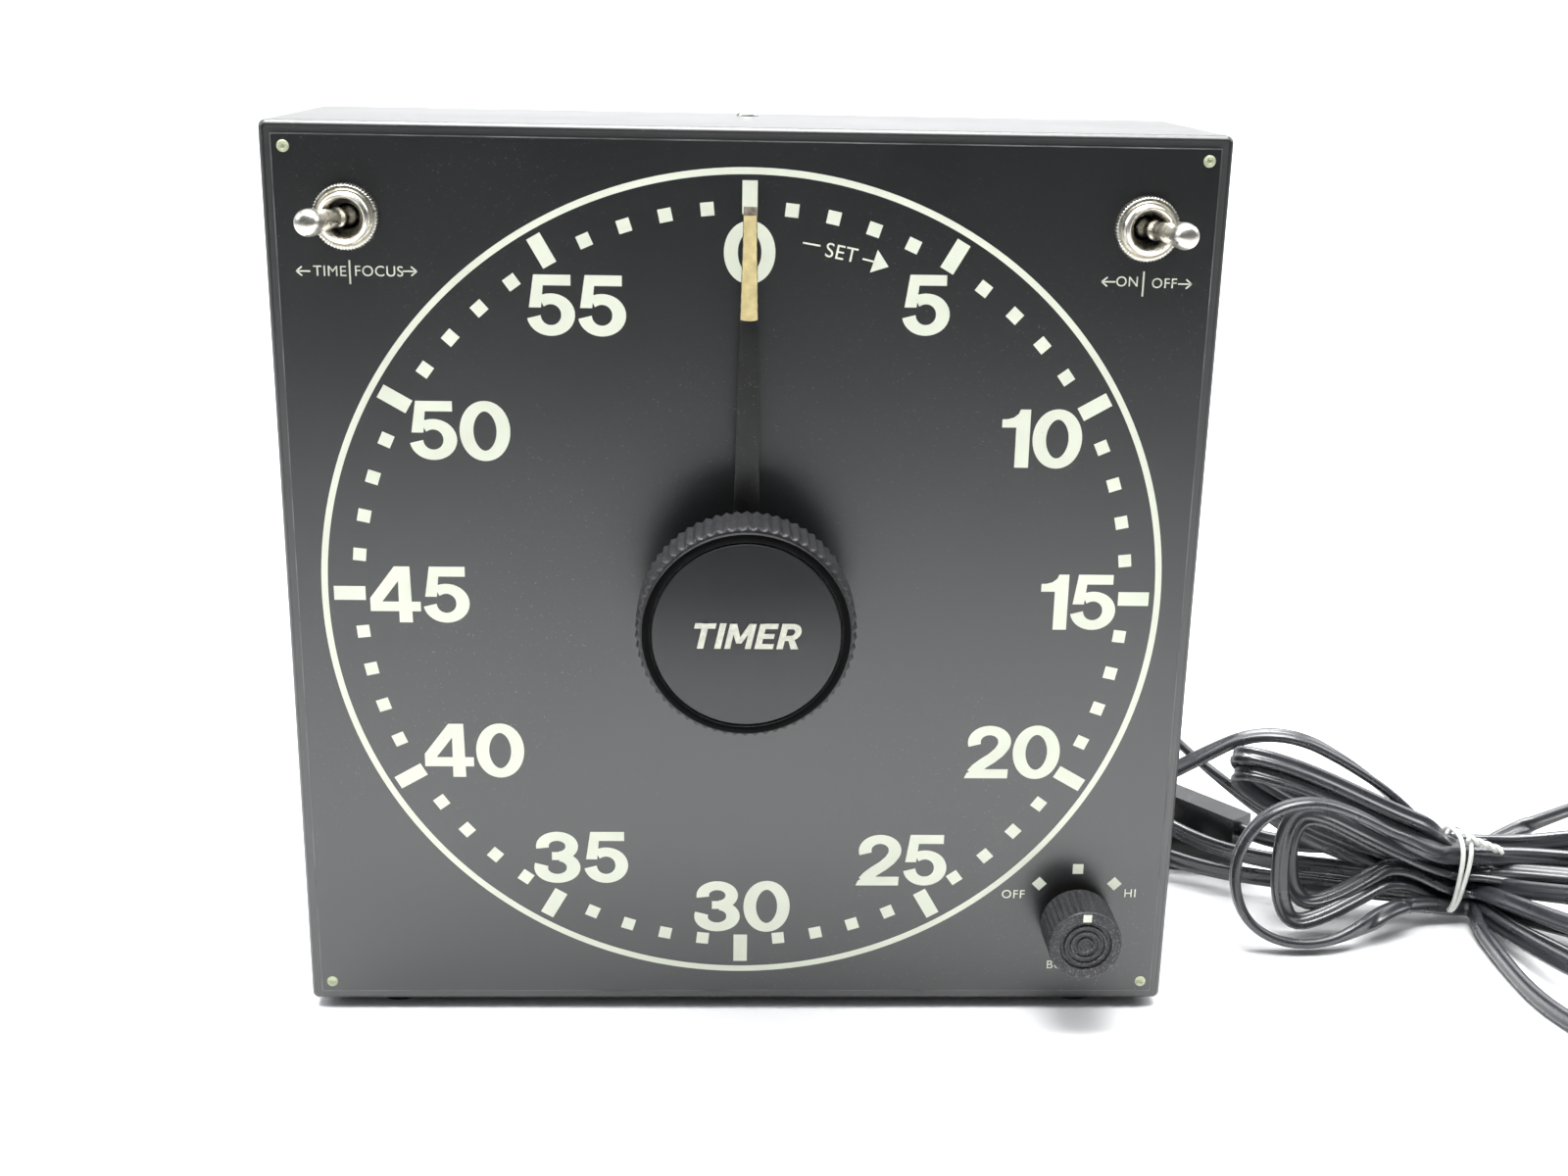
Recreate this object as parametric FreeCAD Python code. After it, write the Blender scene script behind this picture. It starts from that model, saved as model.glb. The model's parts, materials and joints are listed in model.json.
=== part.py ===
"""Enlarger timer: a square steel case with a 60 minute dial, two hands, a set knob, switches and cords.

Millimetres. X is to the right, Y goes into the case from its dial, Z is up and the floor is Z = 0.
Depths are counted from the dial's printed face, positive into the case.
"""
import FreeCAD, Part
import math
import os

V = FreeCAD.Vector

# Case
CASE = 228.6            # outside width and height of the case
CASE_DEPTH = 70.0       # dial face to the back of the rear cover
SHEET = 1.2             # case sheet steel
PLATE = 222.6           # dial plate, square
PLATE_T = 0.8
FOOT_H = 2.5
CORNER_R = 1.8          # long edges of the case
FOLD_R = 1.6            # front edges of the case
PLATE_CORNER_R = 1.2
KNOB_FRONT = 31.8       # dial face to the front of the knob's emblem
FACE_Y = (KNOB_FRONT - CASE_DEPTH) / 2
CZ = FOOT_H + CASE / 2  # height of the dial's centre
SCREW_DEPTH = 57.0      # cover screws, behind the dial face
RIVET_XZ = 108.4

# Hands, arbors and their centre bushing
ARBOR_R = 2.5
TUBE_R = 4.0
RUN = 0.05              # radial running clearance
BUSHING_R = 6.0
HAND_LEN = 96.9
MINUTE_HAND_LEN = 68.0
HAND_ROOT_W = 7.3
HAND_TIP_W = 3.1

# Knobs
KNOB_R = 26.3
KNOB_REAR = -15.0
KNOB_FACE = -31.4
KNOB_RIDGES = 66
EMBLEM_W = 27.0
EMBLEM_H = 6.6
VOLUME_XZ = (89.2, -89.1)
VOLUME_R = 9.7
VOLUME_FACE = -16.5

# Toggle switches
TOGGLE_X = 94.6
TOGGLE_Z = 92.5
TOGGLE_PIVOT = 2.0
TOGGLE_TILT = 17.7
TOGGLE_NUT_R = 7.8
TOGGLE_BUSHING_R = 5.95
TOGGLE_BUSHING_END = -5.5

# Movement: plates, wheels and motor
PLATE_HALF = 40.0
PILLAR_XZ = 33.0
FRONT_PLATE = (14.0, 15.5)
REAR_PLATE = (30.0, 31.5)
GEAR_CENTRE = 18.0      # every pair in the movement has this centre distance
PINION_TEETH = 10
MIDDLE_TEETH = 80       # with the pinion, 8 to 1
MINUTE_TEETH = 75       # with the pinion, 7.5 to 1
CLUTCH_TEETH = 48
MOTOR_TEETH = 12        # with the clutch wheel, 4 to 1
PRESSURE_ANGLE = 25.0
MOTOR_Z = -30.0         # axis of the motor can, below the dial's centre
MOTOR_R = 26.0

# Cords
CORD_W = 5.4            # width of the flat two-core cord
EXIT_Z = 30.0
LINE_EXIT_X = 30.0
LOAD_EXIT_X = -6.0
RELIEF_LEN = 22.0

os.makedirs("parts", exist_ok=True)
NODES = []


def depth(d):
    """Y of a depth behind the dial face."""
    return FACE_Y + d


def save(name, *solids):
    shape = solids[0] if len(solids) == 1 else Part.makeCompound(list(solids))
    bad = [s for s in shape.Solids if not s.isValid()]
    if bad or not shape.Solids:
        print("BAD SOLID", name)
    shape.exportStep("parts/%s.step" % name)
    NODES.append((name, shape))


def block(x0, x1, d0, d1, z0, z1):
    """A box given by X, depth and Z relative to the dial's centre."""
    return Part.makeBox(x1 - x0, d1 - d0, z1 - z0, V(x0, depth(d0), CZ + z0))


def rod(r, d0, d1, x=0.0, z=0.0):
    """A cylinder along Y between two depths."""
    return Part.makeCylinder(r, d1 - d0, V(x, depth(d0), CZ + z), V(0, 1, 0))


def ring(r_out, r_in, d0, d1, x=0.0, z=0.0):
    return rod(r_out, d0, d1, x, z).cut(rod(r_in, d0 - 1, d1 + 1, x, z))


def cone(r0, r1, d0, d1, x=0.0, z=0.0):
    return Part.makeCone(r0, r1, d1 - d0, V(x, depth(d0), CZ + z), V(0, 1, 0))


def fuse(first, *others):
    return first.fuse(list(others)).removeSplitter()


def turned(profile, x=0.0, z=0.0):
    """Solid of revolution about Y from (radius, depth) points."""
    points = [V(x + r, depth(d), CZ + z) for r, d in profile]
    wire = Part.makePolygon(points + [points[0]])
    return Part.Face(wire).revolve(V(x, 0, CZ + z), V(0, 1, 0), 360)


def prism_y(points, d0, d1):
    """Prism along Y from (x, z) points about the dial's centre."""
    corners = [V(x, depth(d0), CZ + z) for x, z in points]
    face = Part.Face(Part.makePolygon(corners + [corners[0]]))
    return face.extrude(V(0, d1 - d0, 0))


def hexagon(r, d0, d1, x=0.0, z=0.0):
    angles = [math.radians(60 * i) for i in range(6)]
    corners = [(x + r * math.cos(a), z + r * math.sin(a)) for a in angles]
    return prism_y(corners, d0, d1)


def fluted(r, ridges, cut, d0, d1, x=0.0, z=0.0):
    """A knurled disc: straight ridges of height cut round its rim."""
    points = []
    for i in range(ridges):
        for share, radius in ((0.0, r - cut), (0.25, r - cut), (0.45, r), (0.80, r)):
            a = 2 * math.pi * (i + share) / ridges
            points.append((x + radius * math.cos(a), z + radius * math.sin(a)))
    return prism_y(points, d0, d1)


# ---------------------------------------------------------------- gears

def involute(base_r, r):
    """Polar angle along an involute where it reaches radius r."""
    return math.sqrt(max((r / base_r) ** 2 - 1, 0)) - math.acos(min(base_r / r, 1))


def gear(teeth, module, d0, d1, x=0.0, z=0.0, tooth_at=0.0, bore=0.0, backlash=0.05):
    """Spur gear about Y, with a tooth centred on the angle tooth_at (degrees from +X towards +Z)."""
    pitch_r = teeth * module / 2
    base_r = pitch_r * math.cos(math.radians(PRESSURE_ANGLE))
    tip_r = pitch_r + 0.8 * module
    root_r = pitch_r - 1.05 * module
    half = math.pi / (2 * teeth) - backlash / 2 / pitch_r + involute(base_r, pitch_r)
    start_r = max(base_r, root_r)
    radii = [start_r + (tip_r - start_r) * k / 4 for k in range(5)]
    flank = [(r, half - involute(base_r, r)) for r in radii]
    if root_r < base_r:
        flank.insert(0, (root_r, half))
    points = []
    for i in range(teeth):
        middle = math.radians(tooth_at) + 2 * math.pi * i / teeth
        for r, a in flank:
            points.append((x + r * math.cos(middle - a), z + r * math.sin(middle - a)))
        for r, a in reversed(flank):
            points.append((x + r * math.cos(middle + a), z + r * math.sin(middle + a)))
    body = prism_y(points, d0, d1)
    return body.cut(rod(bore, d0 - 1, d1 + 1, x, z)) if bore else body


def pair_module(driver, driven):
    return 2 * GEAR_CENTRE / (driver + driven)


# ---------------------------------------------------------------- case

def rounded_box(half, d0, d1, corner, front):
    """Square box about the dial's axis with rounded long edges and a rounded front edge."""
    solid = block(-half, half, d0, d1, -half, half)
    long_edges = [e for e in solid.Edges if abs(e.tangentAt(e.FirstParameter).y) > 0.9]
    solid = solid.makeFillet(corner, long_edges)
    front_edges = [e for e in solid.Edges if e.BoundBox.YMax < depth(d0) + 0.01]
    return solid.makeFillet(front, front_edges) if front else solid


def cover_screw_places():
    """Axis direction and foot of each cover screw: top, bottom, right, left."""
    half = CASE / 2
    y = depth(SCREW_DEPTH)
    return [(V(0, 0, 1), V(0, y, CZ + half)), (V(0, 0, -1), V(0, y, CZ - half)),
            (V(1, 0, 0), V(half, y, CZ)), (V(-1, 0, 0), V(-half, y, CZ))]


def foot_places():
    return [(x, depth(d)) for x in (-92, 92) for d in (12.0, 42.0)]


def make_case():
    half = CASE / 2
    shell = rounded_box(half, PLATE_T, CASE_DEPTH - SHEET, CORNER_R, FOLD_R)
    inside = rounded_box(half - SHEET, PLATE_T + SHEET, CASE_DEPTH, CORNER_R - SHEET, FOLD_R - SHEET)
    shell = shell.cut(inside)
    plate = rounded_box(PLATE / 2, 0, PLATE_T, PLATE_CORNER_R, 0)
    front_holes = [rod(BUSHING_R, -1, 3), rod(4.5, -1, 3, *VOLUME_XZ)]
    front_holes += [rod(TOGGLE_BUSHING_R, -1, 3, s * TOGGLE_X, TOGGLE_Z) for s in (-1, 1)]
    rivet_xz = [(sx * RIVET_XZ, sz * RIVET_XZ) for sx in (-1, 1) for sz in (-1, 1)]
    front_holes += [rod(0.9, -1, 3, x, z) for x, z in rivet_xz]
    screw_holes = [Part.makeCylinder(1.6, 12, at - axis * 8, axis) for axis, at in cover_screw_places()]
    foot_holes = [Part.makeCylinder(2.0, 6, V(x, y, FOOT_H - 2)) for x, y in foot_places()]
    save("front_shell", shell.cut(front_holes + screw_holes + foot_holes))
    save("dial_plate", plate.cut(front_holes))
    rivets = [fuse(rod(0.9, 0, 2.4, x, z), cone(1.0, 1.45, -0.45, 0, x, z), rod(1.5, 2.0, 2.6, x, z))
              for x, z in rivet_xz]
    save("dial_rivets", *rivets)

    back = rounded_box(half, CASE_DEPTH - SHEET, CASE_DEPTH, CORNER_R, 0)
    flange_out = half - SHEET - 0.1
    flange = rounded_box(flange_out, CASE_DEPTH - 20, CASE_DEPTH - SHEET, CORNER_R - SHEET, 0)
    hollow = rounded_box(flange_out - SHEET, CASE_DEPTH - 21, CASE_DEPTH - SHEET, CORNER_R - SHEET, 0)
    cover = fuse(back, flange.cut(hollow))
    exits = [rod(5.0, CASE_DEPTH - 3, CASE_DEPTH + 1, x, EXIT_Z - CZ) for x in (LINE_EXIT_X, LOAD_EXIT_X)]
    vents = [block(x - 12, x + 12, CASE_DEPTH - 3, CASE_DEPTH + 1, z - 1.5, z + 1.5)
             for x in (-60, -20, 20, 60) for z in (66, 76, 86)]
    save("rear_cover", cover.cut(screw_holes + exits + vents))

    screws = []
    for axis, at in cover_screw_places():
        head = Part.makeCylinder(3.0, 1.1, at, axis)
        rim = [e for e in head.Edges if e.Length > 18 and (e.CenterOfMass - at).Length > 1.0]
        slot = Part.makeBox(0.8, 8, 0.8)
        slot.translate(V(-0.4, -4, 0.6))
        slot.Placement = FreeCAD.Placement(at, FreeCAD.Rotation(V(0, 0, 1), axis)).multiply(slot.Placement)
        shank = Part.makeCylinder(1.6, 6, at - axis * 6, axis)
        screws.append(fuse(head.makeFillet(0.7, rim), shank).cut(slot))
    save("cover_screws", *screws)

    feet = []
    for x, y in foot_places():
        pad = Part.makeCone(7.0, 8.0, FOOT_H, V(x, y, 0))
        stem = Part.makeCylinder(2.0, 3.5, V(x, y, FOOT_H))
        barb = Part.makeCone(3.0, 1.6, 2.0, V(x, y, FOOT_H + SHEET))
        feet.append(fuse(pad, stem, barb))
    save("rubber_feet", *feet)


# ---------------------------------------------------------------- knob and hands

def hand(length, root_w, tip_w, d0, d1, boss_r, bore):
    """A tapered hand pointing up, with a round boss."""
    blade = prism_y([(-root_w / 2, 0), (root_w / 2, 0), (tip_w / 2, length), (-tip_w / 2, length)], d0, d1)
    return fuse(blade, rod(boss_r, d0, d1)).cut(rod(bore, d0 - 1, d1 + 1))


def make_knob():
    body = fluted(KNOB_R, KNOB_RIDGES, 0.7, KNOB_FACE + 1.8, KNOB_REAR)
    nose = turned([(0, KNOB_FACE + 0.6), (KNOB_R - 3.6, KNOB_FACE + 0.6), (KNOB_R - 3.6, KNOB_FACE),
                   (KNOB_R - 1.6, KNOB_FACE), (KNOB_R - 0.7, KNOB_FACE + 1.8), (0, KNOB_FACE + 1.8)])
    hub = rod(10.0, KNOB_REAR, -9.5)
    cavity = ring(23.0, 10.0, KNOB_REAR - 10, KNOB_REAR + 1)
    knob = fuse(body, nose, hub).cut([cavity, rod(ARBOR_R, -27, 0)])
    save("main_knob", knob)
    save("knob_cap", turned([(0, KNOB_FACE), (KNOB_R - 3.9, KNOB_FACE), (KNOB_R - 3.9, KNOB_FACE + 0.6),
                             (0, KNOB_FACE + 0.6)]))
    across, up = EMBLEM_W / 2, EMBLEM_H / 2
    save("knob_emblem", block(-across, across, -KNOB_FRONT, KNOB_FACE, -up, up))
    save("seconds_hand", hand(HAND_LEN, HAND_ROOT_W, HAND_TIP_W, -9.2, -8.4, 8.0, ARBOR_R))
    save("minute_hand", hand(MINUTE_HAND_LEN, 5.2, 2.6, -5.6, -4.9, 7.5, TUBE_R))


def make_arbors():
    arbor = [rod(ARBOR_R, -27, 17.0), rod(ARBOR_R, 20.5, 31.2), rod(5.5, 21.0, 22.4)]
    small = pair_module(PINION_TEETH, MIDDLE_TEETH)
    leaves = gear(PINION_TEETH, small, 17.0, 20.5, tooth_at=0.0)
    spring_seat = rod(4.5, 27.4, 28.4)
    save("seconds_arbor", fuse(arbor[0], *arbor[1:], leaves, spring_seat))

    save("minute_tube", ring(TUBE_R, ARBOR_R + RUN, -6.2, 12.6))
    middle_module = pair_module(PINION_TEETH, MIDDLE_TEETH)
    minute_module = pair_module(PINION_TEETH, MINUTE_TEETH)
    minute = gear(MINUTE_TEETH, minute_module, 8.0, 9.4, tooth_at=180.0 / MINUTE_TEETH, bore=TUBE_R)
    spokes = [rod(3.2, 7, 11, 9.6 * math.cos(a), 9.6 * math.sin(a))
              for a in [math.radians(45 + 90 * i) for i in range(4)]]
    save("minute_wheel", minute.cut(spokes))
    lobe = prism_y([(-2.4, 8.0), (2.4, 8.0), (1.2, 13.4), (-1.2, 13.4)], 10.2, 11.6)
    save("zero_cam", fuse(ring(11.0, TUBE_R, 10.2, 11.6), lobe).cut(rod(TUBE_R, 9, 13)))

    x = GEAR_CENTRE
    first_tooth = 180 + 180.0 / MIDDLE_TEETH
    wheel = gear(MIDDLE_TEETH, middle_module, 18.0, 19.4, x, 0, tooth_at=first_tooth, bore=1.6)
    holes = [rod(3.0, 17, 21, x + 9.4 * math.cos(a), 9.4 * math.sin(a))
             for a in [math.radians(45 + 90 * i) for i in range(4)]]
    save("middle_wheel", wheel.cut(holes))
    leaves = gear(PINION_TEETH, minute_module, 7.4, 10.0, x, 0, tooth_at=180.0)
    steps = [rod(1.2, 10.0, 16.2, x), rod(1.0, 6.4, 7.4, x), rod(1.0, 22.0, 31.0, x)]
    save("middle_arbor", fuse(rod(1.6, 16.2, 22.0, x), leaves, *steps))


def make_bushing():
    body = fuse(rod(BUSHING_R, -3.4, 2.0), hexagon(9.0, 2.0, 4.2), rod(BUSHING_R, 4.2, 6.6))
    save("centre_bushing", body.cut(rod(TUBE_R + RUN, -5, 8)))
    save("centre_nut", hexagon(8.6, -2.4, 0).cut(rod(BUSHING_R, -4, 1)))


# ---------------------------------------------------------------- movement

def make_movement():
    corners = [(sx * PILLAR_XZ, sz * PILLAR_XZ) for sx in (-1, 1) for sz in (-1, 1)]
    front = block(-PLATE_HALF, PLATE_HALF, *FRONT_PLATE, -PLATE_HALF, PLATE_HALF)
    front = front.cut([rod(ARBOR_R + RUN, 13, 17), rod(1.2 + RUN, 13, 17, GEAR_CENTRE)]
                      + [rod(1.5, 13, 17, x, z) for x, z in corners])
    save("front_plate", front)
    rear = block(-PLATE_HALF, PLATE_HALF, *REAR_PLATE, -PLATE_HALF, PLATE_HALF)
    holes = [rod(ARBOR_R + RUN, 29, 33), rod(1.0 + RUN, 29, 33, GEAR_CENTRE)]
    holes += [rod(3.0, 29, 33, 0, -GEAR_CENTRE)] + [rod(1.5, 29, 33, x, z) for x, z in corners]
    rear = rear.cut(holes)
    save("back_plate", rear)
    save("plate_pillars", *[fuse(rod(3.0, FRONT_PLATE[1], REAR_PLATE[0], x, z),
                                 rod(1.5, REAR_PLATE[0], REAR_PLATE[1] + 2, x, z)) for x, z in corners])
    save("mounting_posts", *[fuse(rod(3.5, PLATE_T + SHEET, FRONT_PLATE[0], x, z),
                                  rod(1.5, FRONT_PLATE[0], FRONT_PLATE[1], x, z)) for x, z in corners])


def make_motor():
    drive_module = pair_module(MOTOR_TEETH, CLUTCH_TEETH)
    first_tooth = -90 + 180.0 / CLUTCH_TEETH
    wheel = gear(CLUTCH_TEETH, drive_module, 22.8, 24.2, tooth_at=first_tooth, bore=ARBOR_R + RUN)
    save("clutch_wheel", wheel)
    save("clutch_spring", turned([(ARBOR_R + 0.1, 26.6), (ARBOR_R + 0.1, 27.2), (8.0, 25.2), (8.0, 24.6)]))
    pinion = gear(MOTOR_TEETH, drive_module, 22.2, 25.0, 0, -GEAR_CENTRE, tooth_at=90.0)
    save("motor_pinion", fuse(pinion, rod(1.5, 25.0, 34.0, 0, -GEAR_CENTRE)))
    can = rod(MOTOR_R, 31.5, 51.0, 0, MOTOR_Z).cut(rod(MOTOR_R - 0.8, 32.5, 50.2, 0, MOTOR_Z))
    post = rod(1.5, 34.0, 50.4, 0, MOTOR_Z)
    ears = [block(-PILLAR_XZ - 4, -MOTOR_R + 2, 31.5, 32.5, MOTOR_Z - 5, MOTOR_Z + 2),
            block(MOTOR_R - 2, PILLAR_XZ + 4, 31.5, 32.5, MOTOR_Z - 5, MOTOR_Z + 2)]
    can = can.fuse(post).cut([rod(1.5 + RUN, 31, 33, 0, -GEAR_CENTRE)])
    stud_holes = [rod(1.5, 31, 34, s * PILLAR_XZ, -PILLAR_XZ) for s in (-1, 1)]
    save("motor_can", fuse(can, *ears).cut(stud_holes))
    save("motor_coil", ring(MOTOR_R - 1.2, 16.5, 35.0, 49.0, 0, MOTOR_Z))
    rotor = fuse(ring(15.5, 12.0, 37.0, 46.0, 0, MOTOR_Z), ring(12.5, 1.5 + RUN, 40.0, 42.0, 0, MOTOR_Z))
    save("motor_rotor", rotor)


def make_cutoff_switch():
    body = block(-15, 15, 6.0, FRONT_PLATE[0], 17.6, 33.0)
    body = body.cut([rod(1.4, 5, 15, x, 24.0) for x in (-9.5, 9.5)])
    save("cutoff_switch", body)
    leaf = block(-13, 4, 9.9, 12.6, 16.0, 16.6)
    nose = block(-0.9, 0.9, 9.9, 12.2, 13.8, 16.2)
    eye = rod(1.4, 9.9, 12.6, -14.2, 16.0)
    save("cutoff_lever", fuse(leaf, nose, eye))


def make_buzzer():
    x, z = VOLUME_XZ
    bushing = fuse(rod(4.5, -2.6, 9.0, x, z), hexagon(7.0, 2.0, 4.0, x, z), hexagon(6.6, -2.0, 0, x, z))
    save("volume_bushing", bushing.cut(rod(3.0 + RUN, -4, 10, x, z)))
    save("volume_shaft", fuse(rod(3.0, -12.0, 20.0, x, z), rod(3.6, 9.3, 10.3, x, z)))
    nose = block(x - 7.5, x - 4.0, 14.0, 18.0, z - 1.5, z + 1.5)
    save("volume_cam", fuse(ring(5.0, 3.0, 14.0, 18.0, x, z), nose))
    knob = turned([(3.0, -3.0), (VOLUME_R, -3.0), (VOLUME_R, -15.6), (VOLUME_R - 0.9, VOLUME_FACE),
                   (0, VOLUME_FACE), (0, -12.0), (3.0, -12.0)], x, z)
    out = VOLUME_R + 0.25
    angles = [math.radians(7.5 + 15 * i) for i in range(24)]
    flutes = [rod(0.45, -15.2, -5.4, x + out * math.cos(a), z + out * math.sin(a)) for a in angles]
    save("volume_knob", knob.cut(flutes))
    legs = [block(42, 45, 16, 40, -101, -80), block(55, 61, 20, 36, -101, -82)]
    save("buzzer_yoke", fuse(block(42, 72, 16, 40, -104, -101), *legs))
    coil = block(51, 65, 17, 39, -99, -84).cut(block(54.9, 61.1, 16, 40, -100, -83))
    save("buzzer_coil", coil)
    knuckle = rod(0.8, 20.5, 35.5, 43.5, -78.8)
    reed = fuse(block(42, 76, 22, 34, -79.2, -78.4), block(52, 64, 21, 35, -80.6, -79.2), knuckle)
    save("buzzer_armature", reed)


def toggle_lever(x, tilt):
    """Bat handle on a ball, leaning from straight out by tilt degrees about a vertical axis."""
    profile = [(0, 5.2), (1.2, 5.2), (1.5, 1.6), (2.2, 0.9), (2.45, 0), (2.2, -0.9), (1.6, -1.7),
               (1.7, -4.5), (2.05, -7.0), (2.25, -9.5), (2.6, -12.5), (3.05, -16.6), (3.15, -18.0),
               (2.95, -19.3), (2.3, -20.4), (1.3, -21.0), (0, -21.2)]
    points = [V(x + r, depth(TOGGLE_PIVOT + d), CZ + TOGGLE_Z) for r, d in profile]
    wire = Part.makePolygon(points + [points[0]])
    handle = Part.Face(wire).revolve(V(x, 0, CZ + TOGGLE_Z), V(0, 1, 0), 360)
    pin = Part.makeCylinder(0.8, 5.6, V(x, depth(TOGGLE_PIVOT), CZ + TOGGLE_Z - 2.8))
    lever = fuse(handle, pin)
    lever.rotate(V(x, depth(TOGGLE_PIVOT), CZ + TOGGLE_Z), V(0, 0, 1), tilt)
    return lever


def make_toggle(name, side):
    """One toggle switch: side -1 is the left one and +1 the right one."""
    x, z = side * TOGGLE_X, TOGGLE_Z
    barrel = rod(TOGGLE_BUSHING_R, TOGGLE_BUSHING_END, 2.0, x, z)
    flange = rod(TOGGLE_BUSHING_R + 1.5, 2.0, 3.6, x, z)
    mouth = cone(4.9, 3.0, TOGGLE_BUSHING_END - 0.01, 0.6, x, z)
    seat = rod(3.0, 0, 5, x, z)
    edge = x + TOGGLE_BUSHING_R
    keyway = block(edge - 0.9, edge + 1, TOGGLE_BUSHING_END - 1, -2.6, z - 0.9, z + 0.9)
    save(name + "_bushing", fuse(barrel, flange).cut([mouth, seat, keyway]))
    nut = fluted(TOGGLE_NUT_R, 40, 0.35, -2.4, 0, x, z).cut(rod(TOGGLE_BUSHING_R, -3, 1, x, z))
    save(name + "_nut", nut)
    body = block(x - 14.2, x + 14.2, 3.6, 22.0, z - 8.5, z + 8.5)
    cavity = block(x - 12.4, x + 12.4, 5.2, 20.5, z - 6.5, z + 6.5)
    terminals = [block(x + tx - 0.4, x + tx + 0.4, 22.0, 30.0, z - 3, z + 3) for tx in (-9, 0, 9)]
    save(name + "_body", fuse(body.cut([cavity, rod(3.2, 3, 6, x, z)]), *terminals))
    save(name + "_lever", toggle_lever(x, side * TOGGLE_TILT))


def make_terminals():
    strip = block(-40, 40, 34, 46, -100, -92)
    screws = [Part.makeCylinder(2.2, 2.0, V(x, depth(40), CZ - 92)) for x in (-30, -18, -6, 6, 18, 30)]
    legs = [block(x - 3, x + 3, 34, 46, -CASE / 2 + SHEET, -100) for x in (-36, 36)]
    save("terminal_strip", fuse(strip, *screws, *legs))


# ---------------------------------------------------------------- cords

# Route points, in (x, y, z). Leads run from the reliefs to the hank.
# Tails run from the hank to the plug and the connector.
EXIT_Y = FACE_Y + CASE_DEPTH + RELIEF_LEN
LINE_LEAD = [(LINE_EXIT_X, EXIT_Y, EXIT_Z), (LINE_EXIT_X, 93, 30), (36, 113, 28), (51, 126, 24),
             (72, 129, 21), (93, 121, 19), (112, 106, 17.5), (122, 87.5, 17), (133, 70.5, 15.5),
             (144, 58.5, 13.5), (157, 50, 12.6), (171, 45.5, 12.5), (184, 43, 12.5)]
LOAD_LEAD = [(LOAD_EXIT_X, EXIT_Y, EXIT_Z), (LOAD_EXIT_X, 91, 30), (1, 110, 25), (20, 122, 17),
             (42, 126, 10), (65, 124, 6), (88, 114, 5), (105, 97, 7), (118, 78, 8), (131, 62, 8),
             (147, 53, 6.5), (164, 47, 6.5), (180, 41, 7)]
LINE_LOOP = [(207, 38, 25), (196, 40, 37), (181, 41, 47.5), (166, 42, 55.5), (152, 46, 54.5),
             (141, 51, 46), (131, 57.5, 36.5), (119, 62, 29), (105, 65, 26), (91, 68, 28),
             (82, 72, 37), (81, 75.5, 50), (88.5, 78.5, 60.5), (103, 79, 65), (116, 75.5, 60.5),
             (127, 70, 52), (137.5, 63, 43), (149, 55, 35), (160, 48, 28), (171, 42, 23)]
CONNECTOR_END = (157.0, 59.9, 17.0)
CONNECTOR_DIR = (-0.61, 0.79)
PLUG_END = (158.4, 66.7, 6.0)
PLUG_DIR = (-0.833, 0.553)
LOAD_TAIL = [CONNECTOR_END, (163, 52.1, 17), (172, 46.5, 18.6), (181, 42.5, 20)]
LINE_TAIL = [PLUG_END, (168, 60.3, 6), (178, 54, 6), (187, 47, 8), (196, 42, 11)]

# Ends of the cords: (distance from the cord end, width, height) along the body
PLUG_SECTIONS = [(0, 9, 8), (9, 15, 10), (18, 23, 12), (24, 24, 12)]
BLADE_GAP = 12.7
CONNECTOR_SECTIONS = [(0, 8.8, 8.8), (34, 8.8, 8.8)]
SLOT_GAP = 4.8
RELIEF_GROOVES = 4

# Hank outline: x, centre y, centre z, half width, half height, heading (degrees from +X towards +Y)
HANK = [(145, 30, 25, 5, 13, 0), (154, 31, 28, 8.5, 25, 0), (170, 32, 26, 9.5, 24, 0),
        (190, 34, 20, 9, 17, 0), (206, 36, 16, 7.8, 11.5, 0), (214, 36, 15.5, 7.5, 10.5, 0),
        (226, 30, 16, 12, 12.5, -25),
        (233, 20, 17, 26, 15.5, -45), (240, 10, 18.5, 40, 18, -45), (250, 0, 19, 48, 18.5, -45),
        (260, -10, 18, 46, 17.5, -45), (269, -19, 16, 38, 15.5, -45), (277, -27, 13, 22, 11, -45)]
WAIST = HANK[5]         # where the tie goes round


def tube(name, points, r):
    """Round tube on straight runs joined by tangent arcs. Each arc takes 0.45 of its shorter run."""
    pts = [V(*p) for p in points]
    edges = []
    start = pts[0]
    radii = []
    for before, here, after in zip(pts, pts[1:], pts[2:]):
        u = (here - before).normalize()
        w = (after - here).normalize()
        turn = u.getAngle(w)
        reach = 0.45 * min((here - before).Length, (after - here).Length)
        radii.append(reach / math.tan(turn / 2))
        a, b = here - u * reach, here + w * reach
        bisector = (w - u).normalize()
        middle = here + bisector * (radii[-1] / math.cos(turn / 2) - radii[-1])
        edges += [Part.LineSegment(start, a).toShape(), Part.Arc(a, middle, b).toShape()]
        start = b
    edges.append(Part.LineSegment(start, pts[-1]).toShape())
    path = Part.Wire(edges)
    first = (pts[1] - pts[0]).normalize()
    section = Part.Wire(Part.makeCircle(r, pts[0], first))
    solid = path.makePipeShell([section], True, False)
    if solid.Volume < 0:
        solid.reverse()
    share = solid.Volume / (math.pi * r * r * path.Length)
    print("%-16s length %.0f  least radius %.1f  volume share %.4f" % (name, path.Length, min(radii), share))
    print("   radii", " ".join("%.0f" % q for q in radii))
    return solid


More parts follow.
